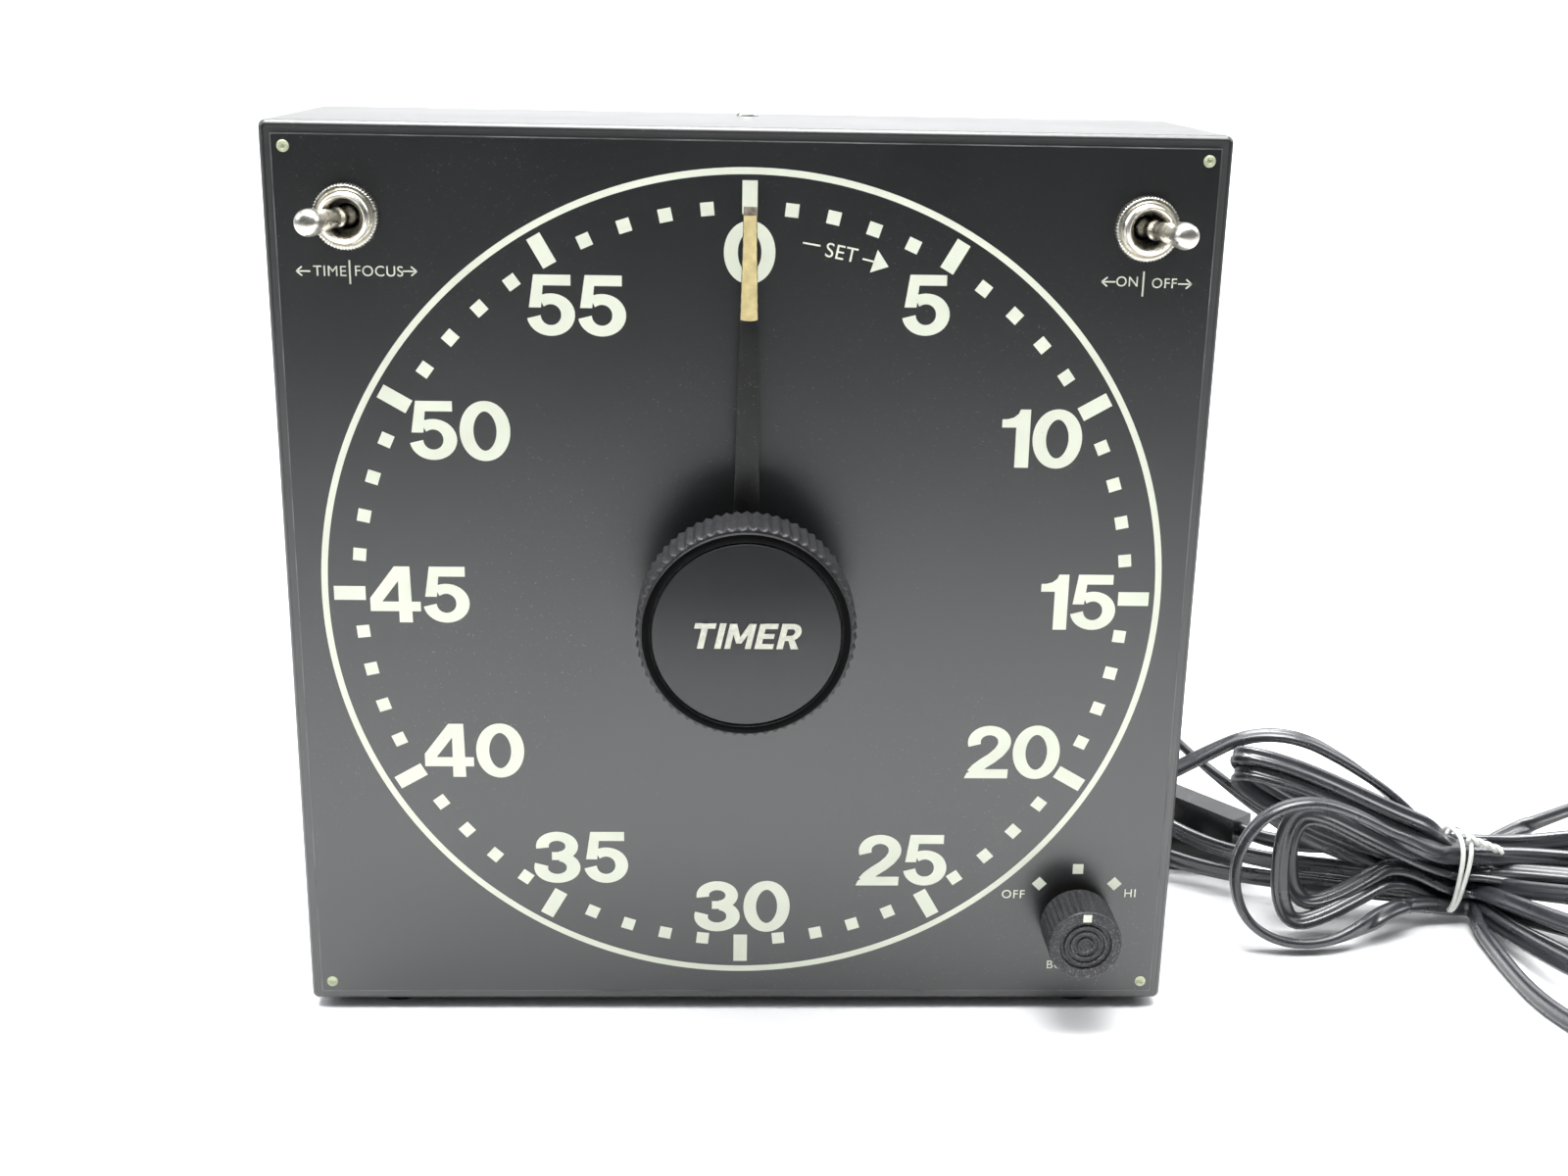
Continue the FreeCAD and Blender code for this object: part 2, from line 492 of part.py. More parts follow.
def hank_section(x, y, z, half_w, half_h, heading):
    """Rounded closed section, square to its heading."""
    across = V(-math.sin(math.radians(heading)), math.cos(math.radians(heading)), 0)
    points = []
    for i in range(16):
        a = 2 * math.pi * (i + 0.5) / 16
        c, s = math.cos(a), math.sin(a)
        grow = (abs(c) ** 3 + abs(s) ** 3) ** (-1 / 3)
        points.append(V(x, y, z) + across * (half_w * grow * c) + V(0, 0, half_h * grow * s))
    return Part.makePolygon(points + [points[0]])


def hank():
    """Closed solid of the hank's outer shape: straight lofts between rounded sections."""
    return Part.makeLoft([hank_section(*row) for row in HANK], True, True)


def tapered_block(end, direction, z_mid, sections):
    """A moulded body along a level direction: sections are (distance, width, height) from its cord end."""
    ux, uy = direction
    size = math.hypot(ux, uy)
    ux, uy = ux / size, uy / size
    wires = []
    for s, w, h in sections:
        cx, cy = end[0] + ux * s, end[1] + uy * s
        corners = []
        for a, b in ((1, -1), (1, 1), (-1, 1), (-1, -1)):
            corners.append(V(cx - uy * a * w / 2, cy + ux * a * w / 2, z_mid + b * h / 2))
        wires.append(Part.makePolygon(corners + [corners[0]]))
    return Part.makeLoft(wires, True, True)


def along(end, direction, s, across=0.0):
    size = math.hypot(*direction)
    ux, uy = direction[0] / size, direction[1] / size
    return end[0] + ux * s - uy * across, end[1] + uy * s + ux * across


def blade(end, direction, s0, s1, across, z_mid):
    """Flat blade standing on edge along a level direction."""
    x0, y0 = along(end, direction, s0, across)
    angle = math.degrees(math.atan2(direction[1], direction[0]))
    solid = Part.makeBox(s1 - s0, 1.5, 6.35, V(0, -0.75, -3.175))
    solid.Placement = FreeCAD.Placement(V(x0, y0, z_mid), FreeCAD.Rotation(V(0, 0, 1), angle))
    return solid


def strain_relief(x):
    """Moulded relief through the rear cover: collar inside, grooved taper outside."""
    back = CASE_DEPTH
    tail = cone(6.0, 3.4, back, back + RELIEF_LEN, x, EXIT_Z - CZ)
    grooves = []
    for i in range(RELIEF_GROOVES):
        start = back + 6 + 4 * i
        grooves.append(ring(8.0, 3.9 - 0.1 * i, start, start + 1.2, x, EXIT_Z - CZ))
    collar = rod(7.0, back - 4.5, back - SHEET, x, EXIT_Z - CZ)
    neck = rod(5.0, back - SHEET, back, x, EXIT_Z - CZ)
    return fuse(tail, neck, collar).cut(grooves)


def make_cords():
    save("line_strain_relief", strain_relief(LINE_EXIT_X))
    save("load_strain_relief", strain_relief(LOAD_EXIT_X))
    r = CORD_W / 2
    save("line_cord_lead", tube("line lead", LINE_LEAD, r))
    save("line_cord_loop", tube("line loop", LINE_LOOP, r))
    save("line_cord_tail", tube("line tail", LINE_TAIL, r))
    save("load_cord_lead", tube("load lead", LOAD_LEAD, r))
    save("load_cord_tail", tube("load tail", LOAD_TAIL, r))
    save("cord_hank", hank())
    outer = Part.makeLoft([tie_wire(WAIST[0] + dx, 2.5) for dx in (-1.3, 1.3)], True, True)
    inner = Part.makeLoft([tie_wire(WAIST[0] + dx, 1.1) for dx in (-2, 2)], True, True)
    save("twist_tie", outer.cut(inner))
    plug = tapered_block(PLUG_END, PLUG_DIR, PLUG_END[2], PLUG_SECTIONS)
    blades = [blade(PLUG_END, PLUG_DIR, 20.0, 41.0, side * BLADE_GAP / 2, PLUG_END[2])
              for side in (-1, 1)]
    save("line_plug", plug.cut(blades))
    save("plug_blades", *blades)
    connector = tapered_block(CONNECTOR_END, CONNECTOR_DIR, CONNECTOR_END[2], CONNECTOR_SECTIONS)
    slots = [blade(CONNECTOR_END, CONNECTOR_DIR, 20.0, 36.0, side * SLOT_GAP / 2, CONNECTOR_END[2])
             for side in (-1, 1)]
    save("load_connector", connector.cut(slots))


def tie_wire(x, out):
    """Loop of the tie round the hank's waist, out from it by the given gap."""
    _, y, z, half_w, half_h, heading = WAIST
    return hank_section(x, y, z, half_w + out, half_h + out, heading)


make_case()
make_knob()
make_arbors()
make_bushing()
make_movement()
make_motor()
make_cutoff_switch()
make_buzzer()
make_toggle("focus_switch", -1)
make_toggle("power_switch", 1)
make_terminals()
make_cords()
print(len(NODES), "nodes")
everything = Part.makeCompound([shape for _, shape in NODES])
print("box", everything.BoundBox)
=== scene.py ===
"""Looks of the enlarger timer: dial print, knobs, hands, switches, cords, materials, light and camera.

Lengths in the helpers are in millimetres, in the frame of the CAD model, and become metres in the meshes.
Depth is counted from the dial's printed face, positive into the case.
"""
import json
import math

import bmesh
import bpy
import numpy as np
from mathutils import Matrix, Vector


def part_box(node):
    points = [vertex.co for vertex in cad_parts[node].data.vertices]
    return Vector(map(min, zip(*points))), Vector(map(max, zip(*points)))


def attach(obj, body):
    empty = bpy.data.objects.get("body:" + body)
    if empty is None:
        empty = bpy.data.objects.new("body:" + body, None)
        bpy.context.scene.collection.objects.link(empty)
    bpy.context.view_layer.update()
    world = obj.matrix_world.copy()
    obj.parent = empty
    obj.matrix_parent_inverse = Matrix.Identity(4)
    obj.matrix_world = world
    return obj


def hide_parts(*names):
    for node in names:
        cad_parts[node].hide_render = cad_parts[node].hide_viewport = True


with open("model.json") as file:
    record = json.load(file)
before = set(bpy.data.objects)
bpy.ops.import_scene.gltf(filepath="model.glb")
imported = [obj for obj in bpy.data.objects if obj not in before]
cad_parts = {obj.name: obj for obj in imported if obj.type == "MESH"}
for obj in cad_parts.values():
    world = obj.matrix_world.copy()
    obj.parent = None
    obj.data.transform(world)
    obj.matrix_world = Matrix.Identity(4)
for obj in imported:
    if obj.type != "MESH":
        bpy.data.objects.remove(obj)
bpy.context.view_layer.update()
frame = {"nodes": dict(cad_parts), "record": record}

MM = 0.001
plate_low, plate_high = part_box("dial_plate")
FACE_Y = plate_low.y / MM
CZ = (plate_low.z + plate_high.z) / 2 / MM


# ---------------- materials

def noise(tree, scale, detail):
    """Noise in object space; scale is per metre."""
    node = tree.nodes.new("ShaderNodeTexNoise")
    node.inputs["Scale"].default_value = scale
    node.inputs["Detail"].default_value = detail
    where = tree.nodes.new("ShaderNodeTexCoord").outputs["Object"]
    tree.links.new(where, node.inputs["Vector"])
    return node.outputs["Fac"]


def ramp(tree, source, low, high, dark, light):
    node = tree.nodes.new("ShaderNodeValToRGB")
    node.color_ramp.elements[0].position = low
    node.color_ramp.elements[1].position = high
    node.color_ramp.elements[0].color = (*dark, 1)
    node.color_ramp.elements[1].color = (*light, 1)
    tree.links.new(source, node.inputs["Fac"])
    return node.outputs["Color"]


def mix(tree, share, base, over):
    """Lays the plain colour `over` on the `base` socket by a share."""
    node = tree.nodes.new("ShaderNodeMix")
    node.data_type = "RGBA"
    tree.links.new(share, node.inputs["Factor"])
    tree.links.new(base, node.inputs["A"])
    node.inputs["B"].default_value = (*over, 1)
    return node.outputs["Result"]


def grey(value):
    return (value, value, value)


def surface(name, color, rough, metal=0.0, vary=0.25, patch=40.0, rough_vary=0.08, grain=900.0, bump=0.15,
            depth=0.00005, dust=None, wear=None, specular=0.5):
    """A material with patchy colour, uneven gloss and a fine grain; dust and edge wear are optional.

    dust is (share, size per metre, colour); wear is the colour that shows on worn edges.
    """
    material = bpy.data.materials.new(name)
    material.use_nodes = True
    tree = material.node_tree
    link = tree.links.new
    shader = tree.nodes["Principled BSDF"]
    shader.inputs["Metallic"].default_value = metal
    shader.inputs["Specular IOR Level"].default_value = specular
    dark = tuple(c * (1 - vary) for c in color)
    light = tuple(min(1.0, c * (1 + vary)) for c in color)
    shade = ramp(tree, noise(tree, patch, 6.0), 0.3, 0.7, dark, light)
    if dust:
        share, size, dust_color = dust
        specks = ramp(tree, noise(tree, size, 2.0), share, share + 0.035, grey(0), grey(1))
        clumps = ramp(tree, noise(tree, 14.0, 3.0), 0.45, 0.7, grey(0.05), grey(0.9))
        both = tree.nodes.new("ShaderNodeMath")
        both.operation = "MULTIPLY"
        link(specks, both.inputs[0])
        link(clumps, both.inputs[1])
        shade = mix(tree, both.outputs["Value"], shade, dust_color)
    if wear:
        edge = tree.nodes.new("ShaderNodeNewGeometry").outputs["Pointiness"]
        shade = mix(tree, ramp(tree, edge, 0.53, 0.60, grey(0), grey(0.8)), shade, wear)
    link(shade, shader.inputs["Base Color"])
    gloss = ramp(tree, noise(tree, patch * 1.7, 5.0), 0.3, 0.75,
                 grey(max(0.02, rough - rough_vary)), grey(min(1.0, rough + rough_vary)))
    link(gloss, shader.inputs["Roughness"])
    relief = tree.nodes.new("ShaderNodeBump")
    relief.inputs["Strength"].default_value = bump
    relief.inputs["Distance"].default_value = depth
    link(noise(tree, grain, 3.0), relief.inputs["Height"])
    link(relief.outputs["Normal"], shader.inputs["Normal"])
    return material


MAT = {
    "case_paint": surface("case_enamel", (0.0085, 0.0092, 0.0095), 0.33, vary=0.06, patch=12,
                          rough_vary=0.03, grain=1500, bump=0.10, dust=(0.70, 1300.0, (0.10, 0.10, 0.095)),
                          wear=(0.05, 0.05, 0.05), specular=0.9),
    "dial_paint": surface("dial_enamel", (0.0080, 0.0088, 0.0092), 0.30, vary=0.06, patch=9,
                          rough_vary=0.025, grain=1700, bump=0.12,
                          dust=(0.685, 1900.0, (0.13, 0.13, 0.125)), specular=1.0),
    "print": surface("dial_print", (0.70, 0.73, 0.61), 0.5, vary=0.05, patch=60, grain=2500, bump=0.2,
                     dust=(0.70, 1300.0, (0.35, 0.36, 0.30))),
    "edge": surface("plate_bare_edge", (0.11, 0.115, 0.115), 0.4, vary=0.6, patch=90, grain=1500, bump=0.3),
    "rivet": surface("luminous_rivet", (0.42, 0.46, 0.30), 0.45, patch=900),
    "zinc": surface("zinc_plate", (0.52, 0.52, 0.50), 0.32, metal=1.0, vary=0.2, patch=300, bump=0.25),
    "chrome": surface("switch_nickel", (0.80, 0.77, 0.70), 0.30, metal=1.0, vary=0.08, patch=260,
                      rough_vary=0.06, grain=2200),
    "nickel": surface("nut_nickel", (0.66, 0.64, 0.57), 0.33, metal=1.0, vary=0.15, patch=500,
                      grain=2600, bump=0.3),
    "rubber": surface("foot_rubber", (0.02, 0.02, 0.02), 0.75, vary=0.3, patch=200, grain=1600, bump=0.4),
    "knob": surface("phenolic_matt", (0.020, 0.020, 0.022), 0.5, vary=0.2, patch=300, grain=2600, bump=0.5,
                    dust=(0.56, 2600.0, (0.13, 0.13, 0.145)), specular=0.45),
    # Painted shade: near-black and almost without specular, for the dark ring on the knob's front rim.
    "knob_ring": surface("phenolic_painted_shade", (0.002, 0.002, 0.002), 0.45, vary=0.2, patch=120,
                         grain=2600, bump=0.1, specular=0.05),
    "knob_face": surface("phenolic_face", (0.013, 0.014, 0.0145), 0.40, vary=0.06, patch=60,
                         rough_vary=0.03, grain=2600, bump=0.3, dust=(0.70, 1700.0, (0.07, 0.07, 0.07)),
                         specular=0.55),
    "emblem": surface("emblem_metal", (0.55, 0.55, 0.47), 0.42, metal=0.5, vary=0.15, patch=900,
                      grain=3000, bump=0.3),
    "hand": surface("hand_black", (0.0105, 0.011, 0.010), 0.40, vary=0.2, patch=160, grain=2400, bump=0.3,
                    dust=(0.66, 1500.0, (0.14, 0.14, 0.12))),
    "lume": surface("aged_luminous", (0.58, 0.48, 0.23), 0.6, vary=0.2, patch=350, grain=1800, bump=0.8,
                    depth=0.00015, dust=(0.60, 900.0, (0.22, 0.14, 0.06))),
    "tip": surface("tarnished_tip", (0.22, 0.19, 0.15), 0.5, vary=0.6, patch=900, grain=2000, bump=0.5),
    "steel": surface("turned_steel", (0.45, 0.45, 0.46), 0.3, metal=1.0, vary=0.15, patch=300),
    "brass": surface("aged_brass", (0.60, 0.43, 0.17), 0.3, metal=1.0, vary=0.2, patch=250),
    "phenolic": surface("brown_phenolic", (0.12, 0.06, 0.03), 0.4, vary=0.3, patch=150),
    "coil": surface("taped_coil", (0.45, 0.33, 0.12), 0.6, vary=0.3, patch=400, bump=0.5),
    "cord": surface("cord_vinyl", (0.026, 0.028, 0.033), 0.30, vary=0.2, patch=60, rough_vary=0.07,
                    grain=1200, bump=0.2, dust=(0.68, 1300.0, (0.16, 0.16, 0.17)), specular=1.0),
    "plug": surface("plug_vinyl", (0.012, 0.0125, 0.014), 0.33, vary=0.2, patch=90, grain=1400, bump=0.3,
                    dust=(0.68, 1300.0, (0.18, 0.18, 0.18))),
    "tie": surface("tie_plastic", (0.66, 0.67, 0.63), 0.38, vary=0.12, patch=300, grain=1500, bump=0.3),
}


def paint_cad_nodes():
    """Gives every CAD node the detailed material of its slot."""
    slots = {row["node"]: row["material_slot"] for row in frame["record"]["subparts"]}
    for name, node in frame["nodes"].items():
        node.data.materials.clear()
        node.data.materials.append(MAT[slots[name]])


# ---------------- mesh helpers

def add_object(name, data):
    obj = bpy.data.objects.new(name, data)
    bpy.context.scene.collection.objects.link(obj)
    return obj


def evaluated_mesh(obj):
    graph = bpy.context.evaluated_depsgraph_get()
    return bpy.data.meshes.new_from_object(obj.evaluated_get(graph))


def mark_edges(mesh, degrees):
    """Smooth shading, with edges sharper than the given angle kept crisp."""
    work = bmesh.new()
    work.from_mesh(mesh)
    bmesh.ops.remove_doubles(work, verts=work.verts, dist=1e-7)
    bmesh.ops.recalc_face_normals(work, faces=work.faces)
    for face in work.faces:
        face.smooth = True
    for edge in work.edges:
        if len(edge.link_faces) == 2 and edge.calc_face_angle(0) > math.radians(degrees):
            edge.smooth = False
    work.to_mesh(mesh)
    work.free()


def piece(name, verts, faces, slot, body="root", replaces=(), angle=32, bevel=0.0, finish=None):
    """Mesh piece from points in millimetres, painted, smoothed and riding on a body."""
    mesh = bpy.data.meshes.new(name)
    mesh.from_pydata([tuple(c * MM for c in v) for v in verts], [], faces)
    mesh.update()
    obj = add_object(name, mesh)
    if bevel:
        mark_edges(mesh, 180)
        modifier = obj.modifiers.new("bevel", "BEVEL")
        modifier.width = bevel * MM
        modifier.segments = 2
        modifier.limit_method = "ANGLE"
        modifier.angle_limit = math.radians(30)
        mesh = evaluated_mesh(obj)
        obj.modifiers.clear()
        obj.data = mesh
    mark_edges(mesh, angle)
    mesh.materials.append(MAT[finish or slot])
    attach(obj, body)
    if replaces:
        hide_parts(*replaces)
    return obj


def saw(share):
    """Depth of a straight knurl across one pitch: 1 at its ends and 0 in the middle."""
    return abs(2 * share - 1)


def lathe(profile, count, x=0.0, z=0.0, flutes=0):
    """Turned solid about the Y axis through (x, z), from (radius, depth[, flute height]) points.

    Where a point gives a flute height, the radius there drops by up to that much between the ridges.
    """
    verts, faces = [], []
    rows = []
    for point in profile:
        r, d = point[0], point[1]
        drop = point[2] if len(point) > 2 else 0.0
        if r <= 0:
            rows.append([len(verts)])
            verts.append((x, FACE_Y + d, CZ + z))
            continue
        row = []
        for i in range(count):
            a = 2 * math.pi * i / count
            share = saw(a * flutes / (2 * math.pi) % 1.0) if flutes and drop else 0.0
            radius = r - drop * share
            row.append(len(verts))
            verts.append((x + radius * math.cos(a), FACE_Y + d, CZ + z + radius * math.sin(a)))
        rows.append(row)
    for low, high in zip(rows, rows[1:]):
        for i in range(count):
            j = (i + 1) % count
            quad = [low[i % len(low)], low[j % len(low)], high[j % len(high)], high[i % len(high)]]
            face = list(dict.fromkeys(quad))
            if len(face) > 2:
                faces.append(face)
    return verts, faces


def tube_faces(rows, count, closed=False):
    """Quads between rings of points; the last ring joins the first if the tube closes on itself."""
    faces = []
    for k in range(rows if closed else rows - 1):
        low, high = k * count, (k + 1) % rows * count
        for i in range(count):
            j = (i + 1) % count
            faces.append([low + i, low + j, high + j, high + i])
    return faces


def prism(points, d0, d1):
    n = len(points)
    verts = [(x, d, z) for d in (d0, d1) for x, z in points]
    faces = [list(range(n)), list(range(2 * n - 1, n - 1, -1))]
    return verts, faces + [[i, (i + 1) % n, n + (i + 1) % n, n + i] for i in range(n)]


def extrude_outline(points, d0, d1):
    """Flat prism along Y from (x, z) points about the dial's centre."""
    verts, faces = prism(points, d0, d1)
    return [(x, FACE_Y + d, CZ + z) for x, d, z in verts], faces


def join(parts):
    verts, faces = [], []
    for v, f in parts:
        faces += [[i + len(verts) for i in face] for face in f]
        verts += v
    return verts, faces


# ---------------- dial print

PRINT = (-0.05, 0.0)
LIFT = 0.004            # overlapping strokes of one figure stand this much apart
RING_OUT, RING_IN = 105.3, 103.7
SQUARE_R, TICK_R = 96.0, 98.4
FIGURE_H = 14.6
FIGURE_GAP = 0.045
KNOB_RIDGES = 66
NUMERALS = {0: (0.1, 85.5), 5: (42.7, 73.5), 10: (72.6, 41.1), 15: (84.4, -1.0), 20: (70.0, -41.9),
            25: (42.3, -72.7), 30: (0.4, -86.2), 35: (-41.9, -72.1), 40: (-68.8, -42.1), 45: (-81.1, -0.3),
            50: (-69.8, 41.5), 55: (-41.1, 72.3)}
FIGURE_HALF_WIDTH = {"0": 0.42, "1": 0.24, "2": 0.40, "3": 0.42, "4": 0.427, "5": 0.395}


def flat_ring(r_out, r_in, count, d0, d1):
    verts = []
    for r, d in ((r_out, d0), (r_in, d0), (r_in, d1), (r_out, d1)):
        for i in range(count):
            a = 2 * math.pi * i / count
            verts.append((r * math.cos(a), FACE_Y + d, CZ + r * math.sin(a)))
    return verts, tube_faces(4, count, closed=True)


def turned_box(cx, cz, w, h, degrees):
    """Outline of a rectangle of width w and height h, turned clockwise."""
    c, s = math.cos(math.radians(-degrees)), math.sin(math.radians(-degrees))
    corners = [(-w / 2, -h / 2), (w / 2, -h / 2), (w / 2, h / 2), (-w / 2, h / 2)]
    return [(cx + px * c - pz * s, cz + px * s + pz * c) for px, pz in corners]


def circle(r, count=48):
    return [(r * math.cos(a), r * math.sin(a)) for a in [2 * math.pi * i / count for i in range(count)]]


def dial_marks():
    parts = []
    for minute in range(60):
        degrees = 6 * minute
        s, c = math.sin(math.radians(degrees)), math.cos(math.radians(degrees))
        if minute % 5:
            outline = turned_box(SQUARE_R * s, SQUARE_R * c, 3.2, 3.2, degrees)
        else:
            outline = turned_box(TICK_R * s, TICK_R * c, 3.6, 7.8, degrees)
        parts.append(extrude_outline(outline, *PRINT))
    return join(parts)


def arc(cx, cz, rx, rz, a0, a1, count=18):
    """Points on an ellipse from angle a0 to a1 in degrees."""
    steps = [math.radians(a0 + (a1 - a0) * i / count) for i in range(count + 1)]
    return [(cx + rx * math.cos(a), cz + rz * math.sin(a)) for a in steps]


def stroke(points, across, up):
    """Both sides of a stroke along a path: it is `across` wide where upright and `up` wide where level."""
    left, right = [], []
    for i, (x, z) in enumerate(points):
        x0, z0 = points[max(i - 1, 0)]
        x1, z1 = points[min(i + 1, len(points) - 1)]
        dx, dz = x1 - x0, z1 - z0
        size = math.hypot(dx, dz)
        nx, nz = -dz / size, dx / size
        half = math.hypot(nx * across, nz * up) / 2
        left.append((x + nx * half, z + nz * half))
        right.append((x - nx * half, z - nz * half))
    return left, right


def ribbon(points, across, up, d0, d1, closed=False):
    """Stroke with an even thickness, as a strip of blocks."""
    if closed:
        left, right = [], []
        for i in range(len(points)):
            trio = [points[i - 1], points[i], points[(i + 1) % len(points)]]
            one_left, one_right = stroke(trio, across, up)
            left.append(one_left[1])
            right.append(one_right[1])
    else:
        left, right = stroke(points, across, up)
    n = len(points)
    verts = [(x, d, z) for d in (d0, d1) for side in (left, right) for x, z in side]
    last = n if closed else n - 1
    faces = []
    for i in range(last):
        j = (i + 1) % n
        faces += [[i, j, n + j, n + i], [2 * n + i, 3 * n + i, 3 * n + j, 2 * n + j],
                  [i, 2 * n + i, 2 * n + j, j], [n + i, n + j, 3 * n + j, 3 * n + i]]
    if not closed:
        faces += [[0, n, 3 * n, 2 * n], [n - 1, 3 * n - 1, 4 * n - 1, 2 * n - 1]]
    return verts, faces


def curve_stroke(rows, across, up, closed=False):
    return lambda d0, d1: ribbon(rows, across, up, d0, d1, closed)


def flat_stroke(points):
    return lambda d0, d1: prism(points, d0, d1)


def figure(which):
    """Strokes of one bold upright figure, one unit high, centred on x = 0."""
    stem, level = 0.228, 0.176
    if which == "0":
        round_path = arc(0, 0.5, 0.42 - stem / 2, 0.51 - level / 2, 0, 360, 48)[:-1]
        return [curve_stroke(round_path, stem, level, True)]
    if which == "1":
        return [flat_stroke([(0.0, 0), (0.235, 0), (0.235, 1), (0.06, 1), (0.03, 0.925), (-0.05, 0.86),
                             (-0.15, 0.832), (-0.24, 0.83), (-0.24, 0.69), (0.0, 0.69)])]
    if which == "2":
        bowl = arc(0.02, 0.69, 0.27, 0.222, 196, -30, 26)
        tail = [(0.20, 0.50), (0.08, 0.39), (-0.07, 0.287), (-0.19, 0.185), (-0.265, 0.085)]
        foot = [(-0.405, 0), (0.367, 0), (0.375, 0.173), (-0.2, 0.173), (-0.36, 0.10)]
        return [curve_stroke(bowl + tail, stem, level), flat_stroke(foot)]
    if which == "3":
        upper = arc(-0.013, 0.718, 0.262, 0.195, 190, -80, 26)
        lower = arc(-0.013, 0.302, 0.29, 0.215, 80, -196, 28)
        waist_bar = [(-0.107, 0.45), (0.06, 0.45), (0.06, 0.604), (-0.107, 0.604)]
        return [curve_stroke(upper, stem, level), curve_stroke(lower, stem + 0.02, level),
                flat_stroke(waist_bar)]
    if which == "4":
        slope = [(-0.427, 0.3), (-0.427, 0.434), (-0.003, 1.0), (0.10, 1.0), (0.06, 0.745), (-0.24, 0.35)]
        cross = [(-0.427, 0.20), (0.427, 0.20), (0.427, 0.372), (-0.427, 0.372)]
        post = [(0.058, 0), (0.284, 0), (0.26, 1.0), (0.058, 1.0)]
        return [flat_stroke(slope), flat_stroke(cross), flat_stroke(post)]
    bowl = arc(0.0, 0.348, 0.395 - stem / 2, 0.348 - level / 2, 124, -172, 28)
    flag = [(-0.278, 1.0), (0.326, 1.0), (0.326, 0.826), (-0.125, 0.826), (-0.16, 0.464), (-0.358, 0.464)]
    return [curve_stroke(bowl, stem, level), flat_stroke(flag)]


def place_strokes(strokes, x, z, size, slant, d0, d1):
    """Strokes of one figure, size high and centred at height z; each stands LIFT further out."""
    parts = []
    for i, stroke_of in enumerate(strokes):
        verts, faces = stroke_of(d0 - LIFT * i, d1)
        moved = [(x + (u + slant * (v - 0.5)) * size, FACE_Y + d, CZ + z + (v - 0.5) * size)
                 for u, d, v in verts]
        parts.append((moved, faces))
    return parts


def numerals():
    """The twelve minute numbers, upright, inside the marks."""
    parts = []
    for minute, (cx, cz) in NUMERALS.items():
        word = str(minute)
        wide = sum(2 * FIGURE_HALF_WIDTH[c] for c in word) + FIGURE_GAP * (len(word) - 1)
        left = -wide / 2
        for letter in word:
            middle = left + FIGURE_HALF_WIDTH[letter]
            left += 2 * FIGURE_HALF_WIDTH[letter] + FIGURE_GAP
            parts += place_strokes(figure(letter), cx + middle * FIGURE_H, cz, FIGURE_H, 0, *PRINT)
    return join(parts)


def lettering(name, text, x, z, size, degrees, spacing):
    """Plain printed lettering as a thin mesh, centred on (x, z) and turned clockwise."""
    thick = 0.05
    curve = bpy.data.curves.new(name + "_text", "FONT")
    curve.body = text
    curve.size = size * MM
    curve.extrude = thick / 2 * MM
    curve.space_character = spacing
    curve.align_x = "CENTER"
    curve.align_y = "CENTER"
    source = add_object(name + "_text", curve)
    mesh = evaluated_mesh(source)
    bpy.data.objects.remove(source)
    place = Matrix.Translation(Vector((x, FACE_Y - thick / 2, CZ + z)) * MM)
    turn = Matrix.Rotation(math.radians(degrees), 4, "Y") @ Matrix.Rotation(math.radians(90), 4, "X")
    mesh.transform(place @ turn)
    obj = add_object(name, mesh)
    mesh.materials.clear()
    mesh.materials.append(MAT["print"])
    mark_edges(mesh, 32)
    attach(obj, "root")


def level_arrow(x, z, direction):
    """Small arrow lying along X: a line and an open head."""
    length, head, line = 3.3, 1.35, 0.34
    tip = x + direction * length / 2
    back = x - direction * length / 2
    low, high = min(tip, back), max(tip, back)
    shaft = [(low, z - line / 2), (high, z - line / 2), (high, z + line / 2), (low, z + line / 2)]
    barbs = [bar(tip, z, tip - direction * head, z + s * head * 0.8, line) for s in (-1, 1)]
    return [extrude_outline(shaft, *PRINT)] + barbs


def bar(x0, z0, x1, z1, width):
    start, end = Vector((x0, z0)), Vector((x1, z1))
    side = (end - start).normalized().orthogonal() * width / 2
    return extrude_outline([tuple(c) for c in (start + side, end + side, end - side, start - side)], *PRINT)


# Printed words: name, word, x, z, size, degrees clockwise, letter spacing
LABELS = [("label_time", "TIME", -99.1, 79.6, 3.5, 0, 1.08),
          ("label_focus", "FOCUS", -87.6, 79.7, 3.5, 0, 1.08),
          ("label_on", "ON", 90.9, 79.8, 3.4, 0, 1.08),
          ("label_off", "OFF", 99.9, 79.5, 3.4, 0, 1.08),
          ("label_volume_off", "OFF", 72.4, -82.6, 3.4, 0, 1.1),
          ("label_volume_high", "HI", 103.7, -82.3, 3.4, 0, 1.1),
          ("label_buzzer", "BUZZER", 89.1, -103.5, 3.4, 0, 1.1),
          ("label_set", "SET", 21.9, 85.6, 4.9, 11, 1.05)]
ARROWS = [(-105.3, 79.6, -1), (-80.3, 79.9, 1), (86.4, 79.8, -1), (104.9, 79.5, 1)]
BARS = [(-94.4, 76.7, -94.4, 82.3), (94.8, 76.4, 94.8, 82.4), (12.7, 88.0, 16.9, 87.3),
        (27.0, 84.4, 30.0, 83.7)]
SET_ARROW = [(30.6, 86.6), (33.3, 82.6), (28.9, 81.2)]
VOLUME_MARKS = [(79.2, -79.4, 45), (89.3, -75.1, 0), (99.3, -79.4, 45)]


def printed(name, part):
    piece(name, *part, "rivet", angle=40, finish="print")


